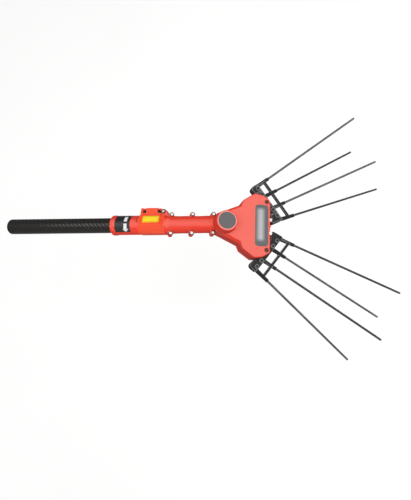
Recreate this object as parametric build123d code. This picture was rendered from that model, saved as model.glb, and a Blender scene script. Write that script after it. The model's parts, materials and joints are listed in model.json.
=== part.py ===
from build123d import *
import math
import os

# Head of a pole-mounted olive harvester. Millimetres, +Z up.
# The origin is the middle of the pole's free end and +X runs along the pole towards the combs.

# Clearances
bond_gap = 0.05         # glued and pressed round fits
running_gap = 0.05      # shafts and pivots, on the radius
screw_gap = 0.15        # screws and nuts in their holes, on each side
trim_gap = 0.2          # badge and name plate in their recesses, on each side
side_gap = 0.3          # faces that pass each other
sink = 1.0              # how far joined shapes run into each other, and cuts run past a face

# Pole and collar
pole_radius = 16.0
pole_wall = 1.5
pole_bare = 222.0       # pole in front of the collar
pole_bond_step = 0.2    # the pole is ground down where it is glued
pole_short = 4.0        # from the pole's end to the collar's end
collar_wall = 4.5
collar_length = 59.0
collar_round = 1.2
collar_lip = 1.0
collar_lip_length = 8.0
collar_lip_round = 1.8
slit_width = 2.4
slit_back = 1.6         # from the clamp's face to the slit
slit_from_y = 1.0
slit_from_z = 8.0

# Clamp
clamp_length = 54.0
spigot_wall = 1.4       # spigots of the collar and the neck meet inside the clamp
spigot_space = 4.0      # between the ends of the two spigots
clamp_ridge_y = -3.0
clamp_ridge_wall = 4.05
clamp_shoulder_out = 0.55
clamp_shoulder_drop = 0.95
clamp_side_wall = 2.75
clamp_side_z = 9.0
clamp_round = 1.5
clamp_face_round = 1.0
lug_height = 13.0
lug_start = 1.5         # from the clamp's front face to the lug
lug_gap = 0.2           # from the lug to the ear on the neck's flange
lug_ear = 4.2
lug_pocket = 7.0        # screw pockets beside the middle block
lug_floor = 8.0         # height of the pocket floors
lug_edge = 7.2          # from the screws to the lug's edge
lug_root = 4.0
lug_round = 1.5
clamp_split = 2.0
clamp_screw_out = 9.3   # from the clamp's shoulder to the screws
clamp_screw_inset = 3.1
clamp_screw_r = 2.0
clamp_head_r = 3.0
clamp_head_height = 4.0
clamp_head_chamfer = 0.5
clamp_key = 4.0
clamp_key_depth = 1.8
clamp_nut_flats = 7.0
clamp_nut_height = 3.2

# Neck, which is in line with the pole
neck_to_crank = 122.5
neck_wall = 2.8
waist_depth = 0.7
flange_step = 1.0
flange_length = 5.0
flange_slope = 6.0
spigot_bore_wall = 3.4
bulkhead_length = 5.0
ear_first = 9.0         # first and last ears, at the level of the pole's axis
ear_last = 24.5
ear_rows = 3
ear_out = 1.1           # from the neck's side to the screws
ear_radius = 5.0
ear_top = 10.0
ear_bottom = -8.0
flange_ear_back = 9.8   # the flange ear reaches back over the clamp
flange_ear_screw = 4.9
flange_ear_gap = 0.8
flange_ear_rim = 0.5
flange_ear_round = 2.0
screw_r = 2.0
screw_head_r = 4.2
screw_head_height = 2.6
screw_head_round = 1.0
screw_key = 3.0
screw_key_depth = 1.6
screw_floor = 1.5       # ear left under the screw's hole
screw_end = 0.5         # hole left under the screw's end

# Head, which is pitched down in front of the crank
head_pitch = 22.1
head_top = 18.0
comb_z = -4.0           # middle plane of the combs in the head's frame
wall = 4.0
flank_back = -18.0
flank_back_y = 19.0
flank_front = 32.5
flank_front_y = 42.4
flank_shoulder = 5.0    # height and width of the sloping shoulder over the flanks
flank_wall = 7.0
plate_step_x = 37.0
plate_step_y = 53.2
lobe_back = 26.3        # corners of the wide plate, measured from the pivot
lobe_back_out = 17.95
lobe_front = 7.3
lobe_front_out = 15.15
corner_ahead = 5.7
corner_out = 7.15
front_ahead = 8.7
front_in = 6.35
outline_round = 8.0
edge_round = 3.0
boss_wall = 3.2
boss_taper = 3.7
boss_base_z = 10.0
boss_top_z = 36.0
boss_round = 1.2
badge_rim = 3.4
badge_depth = 1.6
badge_round = 0.4
trim_sunk = 0.3         # badge and name plate lie below the face around them
name_from_front = 5.2
name_width = 29.0
name_length = 91.2
name_round = 7.0
name_depth = 1.4
bump_r = 3.2
bump_sunk = 0.6
front_ear_r = 4.6       # two more screw ears stand in the slot at the front
front_ear_y = 15.0
front_ear_ahead = 2.0   # from the front edge to the screws
front_ear_wall = 2.0
slot_depth = 28.8       # from the pivots back to where the side slots for the combs begin
slot_gap = 1.0          # over and under the combs

# Comb pivots
pivot_x = 89.3
pivot_y = 53.35
pivot_bolt_r = 4.0
pivot_head_r = 5.2
pivot_head_height = 5.0
pivot_head_sunk = 1.2
pivot_key = 5.0
pivot_key_depth = 3.0
pivot_sleeve_r = 7.0
pivot_post_wall = 2.0
pivot_nut_flats = 13.0
pivot_nut_height = 6.5
pivot_nut_sunk = 0.4

# Comb, drawn about its pivot: X forward, Y towards the outer end, Z from the comb's middle plane
comb_turn = 37.7        # from the head's axis to the comb's own axis
comb_half = 9.0
comb_split = 3.0        # joint between frame and cover
comb_end = 47.0
comb_front = 13.4
comb_heel = 5.5         # the inner end runs out further at the front
comb_rear = -8.0
comb_tip_x = -14.0
comb_waist_x = -5.5
comb_waist_y = 29.0
comb_lip = 1.5
comb_lip_gap = 0.1
comb_round = 3.0
comb_corner_round = 7.5
comb_edge_round = 0.8
comb_panel_depth = 1.2  # sunk panel in the cover
comb_panel_rim = 2.4
comb_rib = 1.6
hub_r = 13.5
comb_screw_pairs = (21.0, 37.0)
comb_boss_r = 4.2
comb_boss_height = 1.0
comb_head_r = 3.2
comb_head_height = 2.4
comb_head_sunk = 0.2
comb_key = 2.6
comb_key_depth = 1.3
comb_screw_short = 0.4
comb_nut_flats = 6.2
comb_nut_height = 2.6
comb_nut_sunk = 0.2
socket_start_y = (43.4, 13.8, -16.9, -49.3)
socket_start_x = 14.0
socket_end_x = 46.5
socket_base_r = 4.8
socket_end_r = 3.8
crossbar_x = 33.0
crossbar_width = 5.6
crossbar_half = 3.0
web_half = 2.6          # web beside each socket
window_round = 2.4
rod_r = 2.5
rod_tip_round = 1.6
rod_free = 279.0
rod_stop = 3.1          # from the comb's front to the rods' inner ends
rod_fan = (1.7, -4.3, -9.6, -15.5)
rod_tilt = (8.9, -8.2, 3.8, -6.3)

# Crank, gears and connecting rods, in the head's frame
throw = 1.8
journal_r = 4.5
eccentric_r = 6.5
eccentric_room = 0.4    # from the connecting rods to the webs
web_lip = 0.6           # webs beside the eccentric stand out by this much
con_rod_height = 6.0
spacer_web = 1.5
spacer_wall = 1.8
con_rod_gap = 0.3       # from the combs' middle plane
con_rod_wall = 3.0
con_rod_width = 8.0
gear_teeth = 30
pinion_teeth = 12
gear_module = 1.3
pressure_angle = 25.0
gear_face = 5.6
gear_backlash = 0.16
gear_addendum = 0.85    # in modules, on the gear
pinion_addendum = 1.15
tooth_foot = 1.3        # in modules, below the mate's tip
gear_seat_r = 6.0
gear_hub_r = 11.0
pinion_hub_step = 2.0
pinion_hub_length = 4.0
pinion_room = 1.0       # around the pinion's tips
pinion_to_motor = 7.3
chamber_gap = 1.2       # around the crank gear's tips
bearing_r = 12.0
bearing_width = 7.0
bearing_rim = 2.5       # lip that holds a bearing in its seat
bearing_lift = 2.0      # upper bearing above the head's inner face
race_half = 1.2
race_depth = 0.6
tail_back = 13.3        # tail pin, measured from the pivot
tail_in = 26.35
tail_pin_r = 3.0
tail_arm_r = 7.0
tail_clip_r = 5.0
tail_clip_height = 1.6
eye_length = 14.4       # the eye is a window, because the linkage is open here
eye_width = 14.0
eye_shift = 0.6
eye_wall = 3.5
eye_round = 3.0

# Motor in the neck
motor_length = 70.0
motor_radius = 16.0
motor_wall = 1.5
motor_floor = 1.0       # behind the rear bearing
stator_bore = 8.6
air_gap = 0.6
rotor_short = 4.0
rotor_round = 0.6
slot_count = 6
slot_wall = 0.72        # inside and outside of each winding slot
slot_mouth = 0.7
coil_length = 3.0
coil_gap = 0.4
coil_room = 1.4         # from the coils to the front plate
shaft_r = 3.0
shaft_room = 1.0
shaft_end = 0.3
motor_bearing_r = 8.0
motor_bearing_width = 5.0
grommet_r = 6.0
grommet_bore = 2.6
grommet_lip = 1.5
grommet_flange = 2.0
grommet_short = 0.6

# Sizes and places that follow
collar_radius = pole_radius + collar_wall
spigot_radius = pole_radius + spigot_wall
spigot_length = (clamp_length - spigot_space) / 2
pole_insert = collar_length + spigot_length - pole_short
clamp_bore = spigot_radius + bond_gap
clamp_ridge_z = clamp_bore + clamp_ridge_wall
clamp_shoulder_y = clamp_bore + clamp_shoulder_out
clamp_shoulder_z = clamp_bore - clamp_shoulder_drop
clamp_side_y = clamp_bore + clamp_side_wall
clamp_screw_y = clamp_shoulder_y + clamp_screw_out
lug_reach = clamp_screw_y + lug_edge
lug_length = clamp_length - lug_start - lug_gap - flange_ear_back
lug_block = lug_length - lug_ear - 2 * lug_pocket
neck_bore = motor_radius + side_gap
neck_radius = neck_bore + neck_wall
flange_radius = neck_radius + flange_step
ear_y = neck_radius + ear_out
ear_spacing = (neck_to_crank - ear_first - ear_last) / (ear_rows - 1)
collar_start = pole_bare
clamp_start = collar_start + collar_length
neck_start = clamp_start + clamp_length
crank_x = neck_start + neck_to_crank
head = Location((crank_x, 0, 0), (0, head_pitch, 0))
head_bottom = 2 * comb_z - head_top
lobe_back_x = pivot_x - lobe_back
lobe_back_y = pivot_y + lobe_back_out
front_x = pivot_x + front_ahead
front_ear_x = front_x + front_ear_ahead
name_middle = front_x - name_from_front - name_width / 2
slot_half = comb_half + comb_boss_height + slot_gap
comb_screw_x = comb_front - comb_lip - comb_lip_gap - comb_boss_r
rod_insert = socket_end_x - comb_front - rod_stop
tail_x = pivot_x - tail_back
tail_y = pivot_y - tail_in
crank_pin_x = -throw     # the combs are closed at rest, with the throw pointing back
tail_angle = math.degrees(math.atan2(tail_y, tail_x - crank_pin_x))
gear_ratio = gear_teeth / pinion_teeth
shaft_angle = 90 - head_pitch
pinion_cone = math.degrees(math.atan2(math.sin(math.radians(shaft_angle)),
                                      gear_ratio + math.cos(math.radians(shaft_angle))))
gear_cone = shaft_angle - pinion_cone
gear_radius = gear_module * gear_teeth / 2
pinion_radius = gear_module * pinion_teeth / 2
cone_length = gear_radius / math.sin(math.radians(gear_cone))
chamber_r = gear_radius + gear_module * gear_addendum + chamber_gap
boss_base_r = chamber_r + boss_wall
boss_top_r = boss_base_r - boss_taper
badge_r = boss_top_r - badge_rim
pinion_back = cone_length * math.cos(math.radians(pinion_cone)) + pinion_hub_length
motor_start = crank_x - pinion_back - pinion_to_motor - motor_length
motor_end = motor_start + motor_length
rear_bearing = motor_start + side_gap + motor_wall + motor_floor
front_bearing = motor_end - side_gap - motor_wall - motor_bearing_width
stator_start = rear_bearing + motor_bearing_width + coil_length
stator_end = front_bearing - coil_room - coil_length
stator_radius = motor_radius - motor_wall - bond_gap
upper_bearing_low = head_top - wall + bearing_lift
lower_bearing_low = wall - boss_top_z

os.makedirs("parts", exist_ok=True)


def save(name, shape):
    solids = list(shape.solids())
    export_step(solids[0] if len(solids) == 1 else Compound(children=solids), f"parts/{name}.step")


def post(radius, low, high, x=0.0, y=0.0):
    # Round bar along Z
    return Pos(x, y, low) * Cylinder(radius, high - low, align=(Align.CENTER, Align.CENTER, Align.MIN))


def bar(radius, start, end, y=0.0, z=0.0):
    # Round bar along X
    return Location((start, y, z), (0, 90, 0)) * Cylinder(
        radius, end - start, align=(Align.CENTER, Align.CENTER, Align.MIN))


def plate(points, low, high):
    # Straight-sided plate from a list of corners
    face = make_face(Polyline(*points, close=True))
    return extrude(Pos(0, 0, low) * face, high - low, dir=(0, 0, 1))


def block(x_low, x_high, y_low, y_high, z_low, z_high):
    size = Box(x_high - x_low, y_high - y_low, z_high - z_low, align=(Align.MIN, Align.MIN, Align.MIN))
    return Pos(x_low, y_low, z_low) * size


def hexagon(flats, low, high, x=0.0, y=0.0):
    face = Rot(0, 0, 30) * RegularPolygon(flats / 2, 6, major_radius=False)
    return extrude(Pos(x, y, low) * face, high - low, dir=(0, 0, 1))


def upright_edges(shape):
    return shape.edges().filter_by(Axis.Z)


def rim_edges(shape):
    return shape.faces().sort_by(Axis.Z)[-1].edges() + shape.faces().sort_by(Axis.Z)[0].edges()


# Pole, collar and clamp
def pole_tube():
    insert_end = pole_bare + pole_insert
    tube = bar(pole_radius, 0, pole_bare) + bar(pole_radius - pole_bond_step, pole_bare, insert_end)
    return tube - bar(pole_radius - pole_wall, 0, insert_end)


def pole_collar():
    body = bar(collar_radius, collar_start, clamp_start)
    body = fillet(body.edges().sort_by(Axis.X)[-1], collar_round)
    lip = bar(collar_radius + collar_lip, collar_start, collar_start + collar_lip_length)
    lip = fillet(lip.edges().filter_by(GeomType.CIRCLE), collar_lip_round)
    spigot = bar(spigot_radius, clamp_start - sink, clamp_start + spigot_length)
    body = body + lip + spigot
    body -= bar(pole_radius - pole_bond_step + bond_gap, collar_start, clamp_start + spigot_length)
    slit_end = clamp_start - slit_back
    slit_start = slit_end - slit_width
    reach = 2 * collar_radius
    return body - block(slit_start, slit_end, slit_from_y, reach, slit_from_z, reach)


def lug_middle():
    return clamp_start + lug_start + lug_ear + lug_pocket + lug_block / 2


def clamp_screw_places():
    from_middle = lug_block / 2 + clamp_screw_inset
    return [lug_middle() - from_middle, lug_middle() + from_middle]


def clamp_block():
    half = [(clamp_ridge_y, clamp_ridge_z), (clamp_shoulder_y, clamp_shoulder_z)]
    corners = half + [(y, -z) for y, z in reversed(half)]
    corners += [(-clamp_side_y, -clamp_side_z), (-clamp_side_y, clamp_side_z)]
    face = make_face(Polyline(*[(0, y, z) for y, z in corners], close=True))
    body = Pos(clamp_start, 0, 0) * extrude(face, clamp_length, dir=(1, 0, 0))
    body = fillet(body.edges().filter_by(Axis.X), clamp_round)
    body = fillet(body.edges().group_by(Axis.X)[0] + body.edges().group_by(Axis.X)[-1], clamp_face_round)
    end = clamp_start + clamp_length
    lug_back = clamp_start + lug_start
    lug_end = lug_back + lug_length
    root = clamp_shoulder_y - lug_root
    lug = plate([(clamp_start + lug_gap, root), (lug_back, lug_reach), (lug_end, lug_reach), (lug_end, root)],
                -lug_height, lug_height)
    lug = fillet(lug.edges().filter_by(Axis.Z).filter_by(lambda e: e.center().Y > lug_reach - sink), lug_round)
    lug = fillet(lug.faces().sort_by(Axis.Z)[-1].edges(), clamp_face_round)
    for side in (-1, 1):
        inner = lug_middle() + side * lug_block / 2
        outer = inner - lug_pocket if side < 0 else lug_end + sink
        low, high = min(inner, outer), max(inner, outer)
        pocket_y = clamp_screw_y - clamp_head_r - sink
        pocket = block(low, high, pocket_y, lug_reach + sink, lug_floor, lug_height + sink)
        lug -= pocket
        body -= pocket
    body += lug
    body -= bar(clamp_bore, clamp_start, end)
    body -= block(clamp_start, end, 0, lug_reach + sink, -clamp_split / 2, clamp_split / 2)
    for place in clamp_screw_places():
        body -= post(clamp_screw_r + screw_gap, -lug_height - sink, lug_height + sink, place, clamp_screw_y)
        body -= hexagon(clamp_nut_flats + 2 * screw_gap, -lug_height - sink, -lug_floor, place, clamp_screw_y)
    return body


def clamp_screws():
    tip = -lug_floor - clamp_nut_height
    top = lug_floor + clamp_head_height
    group = Part()
    for place in clamp_screw_places():
        cap = post(clamp_head_r, lug_floor, top, place, clamp_screw_y)
        cap = chamfer(cap.edges().group_by(Axis.Z)[-1], clamp_head_chamfer)
        socket = hexagon(clamp_key, top - clamp_key_depth, top + sink, place, clamp_screw_y)
        group += cap + post(clamp_screw_r, tip, lug_floor, place, clamp_screw_y) - socket
    return group


def clamp_nuts():
    group = Part()
    top = -lug_floor
    for place in clamp_screw_places():
        nut = hexagon(clamp_nut_flats, top - clamp_nut_height, top, place, clamp_screw_y)
        group += nut - post(clamp_screw_r + bond_gap, top - clamp_nut_height, top, place, clamp_screw_y)
    return group


# Housing
def neck_ear_places():
    # The ears are drawn from the mould with the head, so they lean with it
    first = neck_start + ear_first
    return [Location((first + i * ear_spacing, side * ear_y, 0), (0, head_pitch, 0))
            for i in range(ear_rows) for side in (1, -1)]


def ear_places():
    flange = Location((neck_start - flange_ear_screw, clamp_screw_y, 0))
    front = [head * Pos(front_ear_x, side * front_ear_y, 0) for side in (1, -1)]
    return neck_ear_places() + [flange] + front


def neck_outside():
    # Turned profile: spigot, flange, slope and a slightly waisted neck
    flange_end = neck_start + flange_length
    slope_end = flange_end + flange_slope
    waist = (slope_end + crank_x) / 2
    half = [
        Polyline((neck_start - spigot_length, 0), (neck_start - spigot_length, spigot_radius),
                 (neck_start, spigot_radius), (neck_start, flange_radius), (flange_end, flange_radius),
                 (slope_end, neck_radius)),
        ThreePointArc((slope_end, neck_radius), (waist, neck_radius - waist_depth), (crank_x, neck_radius)),
        Polyline((crank_x, neck_radius), (crank_x, 0), (neck_start - spigot_length, 0)),
    ]
    neck = revolve(make_face(half), Axis.X)
    for place in neck_ear_places():
        inward = -math.copysign(ear_y, place.position.Y)
        neck += place * post(ear_radius, ear_bottom, ear_top)
        neck += place * block(-ear_radius, ear_radius, min(0, inward), max(0, inward), ear_bottom, ear_top)
    ear_low = clamp_shoulder_y + flange_ear_gap
    ear_high = clamp_screw_y + ear_radius + flange_ear_rim
    ear_back = neck_start - flange_ear_back
    ear_front = ear_back + flange_ear_screw + flange_ear_round
    root, foot = neck_start + flange_ear_rim, neck_radius - flange_ear_round
    ear = plate([(ear_back, ear_low), (ear_back, ear_high), (ear_front, ear_high),
                 (flange_end - sink, flange_radius + flange_ear_round), (slope_end, foot), (root, foot),
                 (root, ear_low)], ear_bottom, ear_top)
    corners = ear.edges().filter_by(Axis.Z).filter_by(lambda e: e.center().Y > ear_high - sink)
    return neck + fillet(corners, flange_ear_round)


def flank_corners():
    half = [(flank_back, flank_back_y), (flank_front, flank_front_y), (plate_step_x + wall, flank_front_y)]
    return half + [(x, -y) for x, y in reversed(half)]


def plate_corners():
    half = [(flank_front, flank_front_y + sink), (plate_step_x, plate_step_y), (lobe_back_x, lobe_back_y),
            (pivot_x - lobe_front, pivot_y + lobe_front_out), (pivot_x + corner_ahead, pivot_y + corner_out),
            (front_x, pivot_y - front_in)]
    return half + [(x, -y) for x, y in reversed(half)]


def wide_plate():
    body = plate(plate_corners(), head_bottom, head_top)
    body = fillet(upright_edges(body).filter_by(lambda e: e.center().X > flank_front + sink), outline_round)
    return fillet(rim_edges(body), edge_round)


def flanks():
    body = plate(flank_corners(), head_bottom, head_top)
    return chamfer(rim_edges(body), flank_shoulder)


def boss(sign):
    height = boss_top_z - boss_base_z
    cone = Cone(boss_base_r, boss_top_r, height, align=(Align.CENTER, Align.CENTER, Align.MIN))
    cone = Pos(0, 0, boss_base_z) * cone + post(boss_base_r, 0, boss_base_z)
    cone = fillet(cone.edges().sort_by(Axis.Z)[-1], boss_round)
    return cone if sign > 0 else Rot(180, 0, 0) * cone


def front_bump():
    return post(bump_r, comb_z + slot_half + sink, head_top - edge_round, front_x - bump_sunk)


def housing_outside():
    front = wide_plate() + flanks() + boss(1) + boss(-1) + front_bump()
    return neck_outside() + head * front


def inner_outline(corners, inset):
    return offset(make_face(Polyline(*corners, close=True)), -inset)


def housing_inside():
    low, high = head_bottom + wall, head_top - wall
    plate_room = extrude(Pos(0, 0, low) * inner_outline(plate_corners(), wall), high - low, dir=(0, 0, 1))
    flank_room = extrude(Pos(0, 0, low + wall) * inner_outline(flank_corners(), flank_wall),
                         high - low - 2 * wall, dir=(0, 0, 1))
    flank_room += block(flank_front, plate_step_x + 2 * wall, -flank_front_y + flank_wall,
                        flank_front_y - flank_wall, low + wall, high - wall)
    reach = 2 * lobe_back_y
    slot = block(pivot_x - slot_depth, reach, -reach, reach, comb_z - slot_half, comb_z + slot_half)
    chamber = post(chamber_r, lower_bearing_low + bearing_width + chamber_gap, head_top - wall)
    seats = post(bearing_r + bond_gap, lower_bearing_low, upper_bearing_low + bearing_width)
    seats += post(bearing_r - bearing_rim, 0, boss_top_z - badge_depth - bearing_rim)
    room = plate_room + flank_room + slot + chamber + seats
    room += post(badge_r + trim_gap, boss_top_z - badge_depth, boss_top_z + sink)
    recess = RectangleRounded(name_width + 2 * trim_gap, name_length + 2 * trim_gap, name_round)
    room += extrude(Pos(name_middle, 0, head_top - name_depth) * recess, wall, dir=(0, 0, 1))
    tunnel = bar(neck_bore, motor_start, motor_end)
    pinion_tip = pinion_radius + gear_module * pinion_addendum
    tunnel += bar(pinion_tip + gear_module + pinion_room, motor_end, crank_x - chamber_r / 2)
    bulkhead = motor_start - bulkhead_length
    tunnel += bar(grommet_r, bulkhead, motor_start)
    tunnel += bar(spigot_radius - spigot_bore_wall, neck_start - spigot_length, bulkhead)
    return tunnel + head * room


def pivot_places():
    return [(pivot_x, pivot_y), (pivot_x, -pivot_y)]


def pivot_posts():
    # Columns that carry the pivots between the plates and the combs
    top_face = comb_z + comb_half + side_gap
    low_face = comb_z - comb_half - side_gap
    radius = pivot_sleeve_r + pivot_post_wall
    group = Part()
    for x, y in pivot_places():
        group += post(radius, top_face, head_top - wall + sink, x, y)
        group += post(radius, head_bottom + wall - sink, low_face, x, y)
    return group


def front_ears():
    # Each ear is a column across the slot, and a wall behind it closes the cut for the screw's head
    reach = 2 * pivot_y
    room = screw_head_r + side_gap + front_ear_wall
    group = Part()
    for y in (front_ear_y, -front_ear_y):
        group += post(room, comb_z + slot_half, head_top - wall + sink, front_ear_x, y)
    group &= block(front_x - 2 * room, front_x - sink, -reach, reach, head_bottom, head_top)
    for y in (front_ear_y, -front_ear_y):
        group += post(front_ear_r, comb_z - slot_half - wall, ear_top, front_ear_x, y)
    return group


def screw_holes():
    holes = Part()
    for place in ear_places():
        holes += place * post(screw_r + screw_gap, ear_bottom + screw_floor, ear_top + sink)
        holes += place * post(screw_head_r + side_gap, ear_top, ear_top + boss_top_z)
    pivots = Part()
    seat = head_top - pivot_head_sunk - pivot_head_height
    for x, y in pivot_places():
        pivots += post(pivot_bolt_r + screw_gap, head_bottom - sink, head_top + sink, x, y)
        pivots += post(pivot_head_r + screw_gap, seat, head_top + sink, x, y)
        pocket = hexagon(pivot_nut_flats + 2 * screw_gap, -sink, pivot_nut_height, x, y)
        pivots += Pos(0, 0, head_bottom) * pocket
    return holes + head * pivots


def side_prism(sign):
    # Everything above or below the parting line, which bends at the crank
    reach = 2 * front_x
    pitch = math.radians(head_pitch)
    bend = (crank_x, 0, 0)
    tip = (crank_x + reach * math.cos(pitch), 0, -reach * math.sin(pitch))
    rear = (neck_start - 2 * spigot_length, 0, 0)
    far = sign * reach
    points = [rear, bend, tip, (tip[0], 0, far), (rear[0], 0, far)]
    return extrude(make_face(Polyline(*points, close=True)), reach, dir=(0, 1, 0), both=True)


def housing():
    carriers = head * (pivot_posts() + front_ears())
    whole = housing_outside() - housing_inside() + carriers - screw_holes()
    return whole & side_prism(1), whole & side_prism(-1)


def shell_screws():
    group = Part()
    top = ear_top + screw_head_height
    for place in ear_places():
        cap = post(screw_head_r, ear_top, top)
        cap = fillet(cap.edges().group_by(Axis.Z)[-1], screw_head_round)
        drive = hexagon(screw_key, top - screw_key_depth, top + sink)
        group += place * (cap + post(screw_r, ear_bottom + screw_floor + screw_end, ear_top) - drive)
    return group


def badge_disc():
    disc = post(badge_r, boss_top_z - badge_depth, boss_top_z - trim_sunk)
    return head * fillet(disc.edges().group_by(Axis.Z)[-1], badge_round)


def name_plate():
    face = Pos(name_middle, 0, head_top - name_depth) * RectangleRounded(name_width, name_length, name_round)
    return head * extrude(face, name_depth - trim_sunk, dir=(0, 0, 1))


# Comb pivots
def pivot_bolts():
    top = head_top - pivot_head_sunk
    seat = top - pivot_head_height
    group = Part()
    for x, y in pivot_places():
        bolt = post(pivot_head_r, seat, top, x, y) - hexagon(pivot_key, top - pivot_key_depth, top + sink, x, y)
        group += bolt + post(pivot_bolt_r, head_bottom + pivot_nut_sunk, seat, x, y)
    return head * group


def pivot_nuts():
    group = Part()
    for x, y in pivot_places():
        nut = hexagon(pivot_nut_flats, head_bottom + pivot_nut_sunk, head_bottom + pivot_nut_height, x, y)
        group += nut - post(pivot_bolt_r + bond_gap, head_bottom, head_bottom + pivot_nut_height, x, y)
    return head * group


def pivot_sleeves():
    low = comb_z - comb_half - side_gap
    high = comb_z + comb_half + side_gap
    group = Part()
    for x, y in pivot_places():
        group += post(pivot_sleeve_r, low, high, x, y) - post(pivot_bolt_r + screw_gap, low, high, x, y)
    return head * group


# Combs
def upper_place(shape):
    return head * Pos(pivot_x, pivot_y, comb_z) * Rot(0, 0, comb_turn) * shape


def lower_place(shape):
    # The lower comb is the same comb turned over
    return head * Pos(0, 0, comb_z) * Rot(180, 0, 0) * Pos(pivot_x, pivot_y, 0) * Rot(0, 0, comb_turn) * shape


def rod_line(i):
    fan = math.radians(rod_fan[i])
    tilt = math.radians(rod_tilt[i])
    along = Vector(math.cos(fan) * math.cos(tilt), math.sin(fan) * math.cos(tilt), math.sin(tilt))
    run = (socket_end_x - socket_start_x) / math.cos(fan)
    end = Vector(socket_end_x, socket_start_y[i] + run * math.sin(fan), 0)
    return end, along


def tail_local():
    # Tail pin in the comb's own frame
    turn = math.radians(-comb_turn)
    x, y = tail_x - pivot_x, tail_y - pivot_y
    return (x * math.cos(turn) - y * math.sin(turn), x * math.sin(turn) + y * math.cos(turn))


def comb_screw_places():
    return [(comb_screw_x, side * y) for y in comb_screw_pairs for side in (1, -1)]


def comb_outline():
    return [(comb_rear, comb_end), (comb_front, comb_end), (comb_front, -comb_end - comb_heel),
            (comb_tip_x, -comb_end), (comb_waist_x, -comb_waist_y), (comb_waist_x, comb_waist_y)]


def comb_face():
    face = make_face(Polyline(*comb_outline(), close=True))
    outer_corner = Vector(comb_rear, comb_end)
    face = fillet(face.vertices().sort_by_distance(outer_corner)[1:], comb_round)
    return fillet(face.vertices().sort_by_distance(outer_corner)[0], comb_corner_round)


def comb_plate(low, high):
    return extrude(Pos(0, 0, low) * comb_face(), high - low, dir=(0, 0, 1))


def socket_y(i, x):
    end, along = rod_line(i)
    return end.Y + (x - end.X) * along.Y / along.X


def socket_web():
    # Flat web from the comb to the crossbar, with a window between each two sockets
    back, front = crossbar_x - crossbar_width / 2, crossbar_x + crossbar_width / 2
    root, last = comb_front - sink, len(rod_fan) - 1
    web = plate([(root, socket_y(0, root)), (front, socket_y(0, front)),
                 (front, socket_y(last, front)), (root, socket_y(last, root))], -crossbar_half, crossbar_half)
    for i in range(last):
        corners = [(x, socket_y(i, x) - web_half) for x in (comb_front, back)]
        corners += [(x, socket_y(i + 1, x) + web_half) for x in (back, comb_front)]
        web -= fillet(upright_edges(plate(corners, -crossbar_half, crossbar_half)), window_round)
    return web


def cover_panel():
    # Sunk panel in the cover, with ribs between the screws
    low, high = comb_half - comb_panel_depth, comb_half + sink
    panel = extrude(Pos(0, 0, low) * offset(comb_face(), -comb_panel_rim), high - low, dir=(0, 0, 1))
    reach = 2 * comb_end
    panel &= block(-reach, comb_front - comb_lip - comb_lip_gap - comb_panel_rim, -reach, reach, low, high)
    panel -= post(hub_r, low, high)
    for x, y in comb_screw_places():
        panel -= post(comb_boss_r, low, high, x, y)
    for side in (-1, 1):
        middle = side * sum(comb_screw_pairs) / len(comb_screw_pairs)
        panel -= block(-reach, reach, middle - comb_rib / 2, middle + comb_rib / 2, low, high)
    return panel


def tail_arm(low, high):
    x, y = tail_local()
    length = math.hypot(x, y)
    arm = Location((0, 0, 0), (0, 0, math.degrees(math.atan2(y, x)))) * block(
        0, length, -tail_arm_r, tail_arm_r, low, high)
    return arm + post(tail_arm_r, low, high, x, y)


def comb_frame():
    body = comb_plate(-comb_half, comb_split) + post(hub_r, -comb_half, comb_split)
    body += tail_arm(-comb_half, -con_rod_gap)
    lip_back = comb_front - comb_lip
    rib = comb_plate(-comb_half, comb_half)
    reach = 2 * comb_end
    body += rib & block(lip_back, comb_front + sink, -reach, reach, -comb_half, comb_half)
    for x, y in comb_screw_places():
        body += post(comb_boss_r, -comb_half - comb_boss_height, 0, x, y)
    for i in range(len(rod_fan)):
        end, along = rod_line(i)
        length = (socket_end_x - lip_back) / along.X + socket_base_r
        cone = Plane(origin=end - along * length, z_dir=along) * Cone(
            socket_base_r, socket_end_r, length, align=(Align.CENTER, Align.CENTER, Align.MIN))
        body += cone & block(lip_back, reach, -reach, reach, -reach, reach)
    body += socket_web()
    for i in range(len(rod_fan)):
        end, along = rod_line(i)
        hole = post(rod_r + bond_gap, -rod_insert - side_gap, sink)
        body -= Plane(origin=end, z_dir=along) * hole
    body -= post(pivot_sleeve_r + running_gap, -comb_half, comb_split)
    for x, y in comb_screw_places():
        boss_low = -comb_half - comb_boss_height
        body -= post(screw_r + screw_gap, boss_low - sink, comb_split, x, y)
        body -= hexagon(comb_nut_flats + 2 * screw_gap, boss_low - sink, boss_low + comb_nut_height, x, y)
    x, y = tail_local()
    return body - post(tail_pin_r + bond_gap, -comb_half, comb_half, x, y)


def comb_cover():
    body = comb_plate(comb_split, comb_half)
    body = fillet(body.faces().sort_by(Axis.Z)[-1].edges(), comb_edge_round)
    body += post(hub_r, comb_split, comb_half)
    boss_top = comb_half + comb_boss_height
    for x, y in comb_screw_places():
        body += post(comb_boss_r, comb_split, boss_top, x, y)
    body -= cover_panel()
    reach = 2 * comb_end
    body -= block(comb_front - comb_lip - comb_lip_gap, reach, -reach, reach, 0, reach)
    for x, y in comb_screw_places():
        body -= post(screw_r + screw_gap, comb_split, boss_top + sink, x, y)
        body -= post(comb_head_r + screw_gap, boss_top - comb_head_height, boss_top + sink, x, y)
    return body - post(pivot_sleeve_r + running_gap, comb_split, comb_half)


def comb_screws():
    group = Part()
    boss_top = comb_half + comb_boss_height
    seat, top = boss_top - comb_head_height, boss_top - comb_head_sunk
    for x, y in comb_screw_places():
        screw = post(comb_head_r, seat, top, x, y)
        screw -= hexagon(comb_key, top - comb_key_depth, top + sink, x, y)
        group += screw + post(screw_r, comb_screw_short - boss_top, seat, x, y)
    return group


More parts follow.
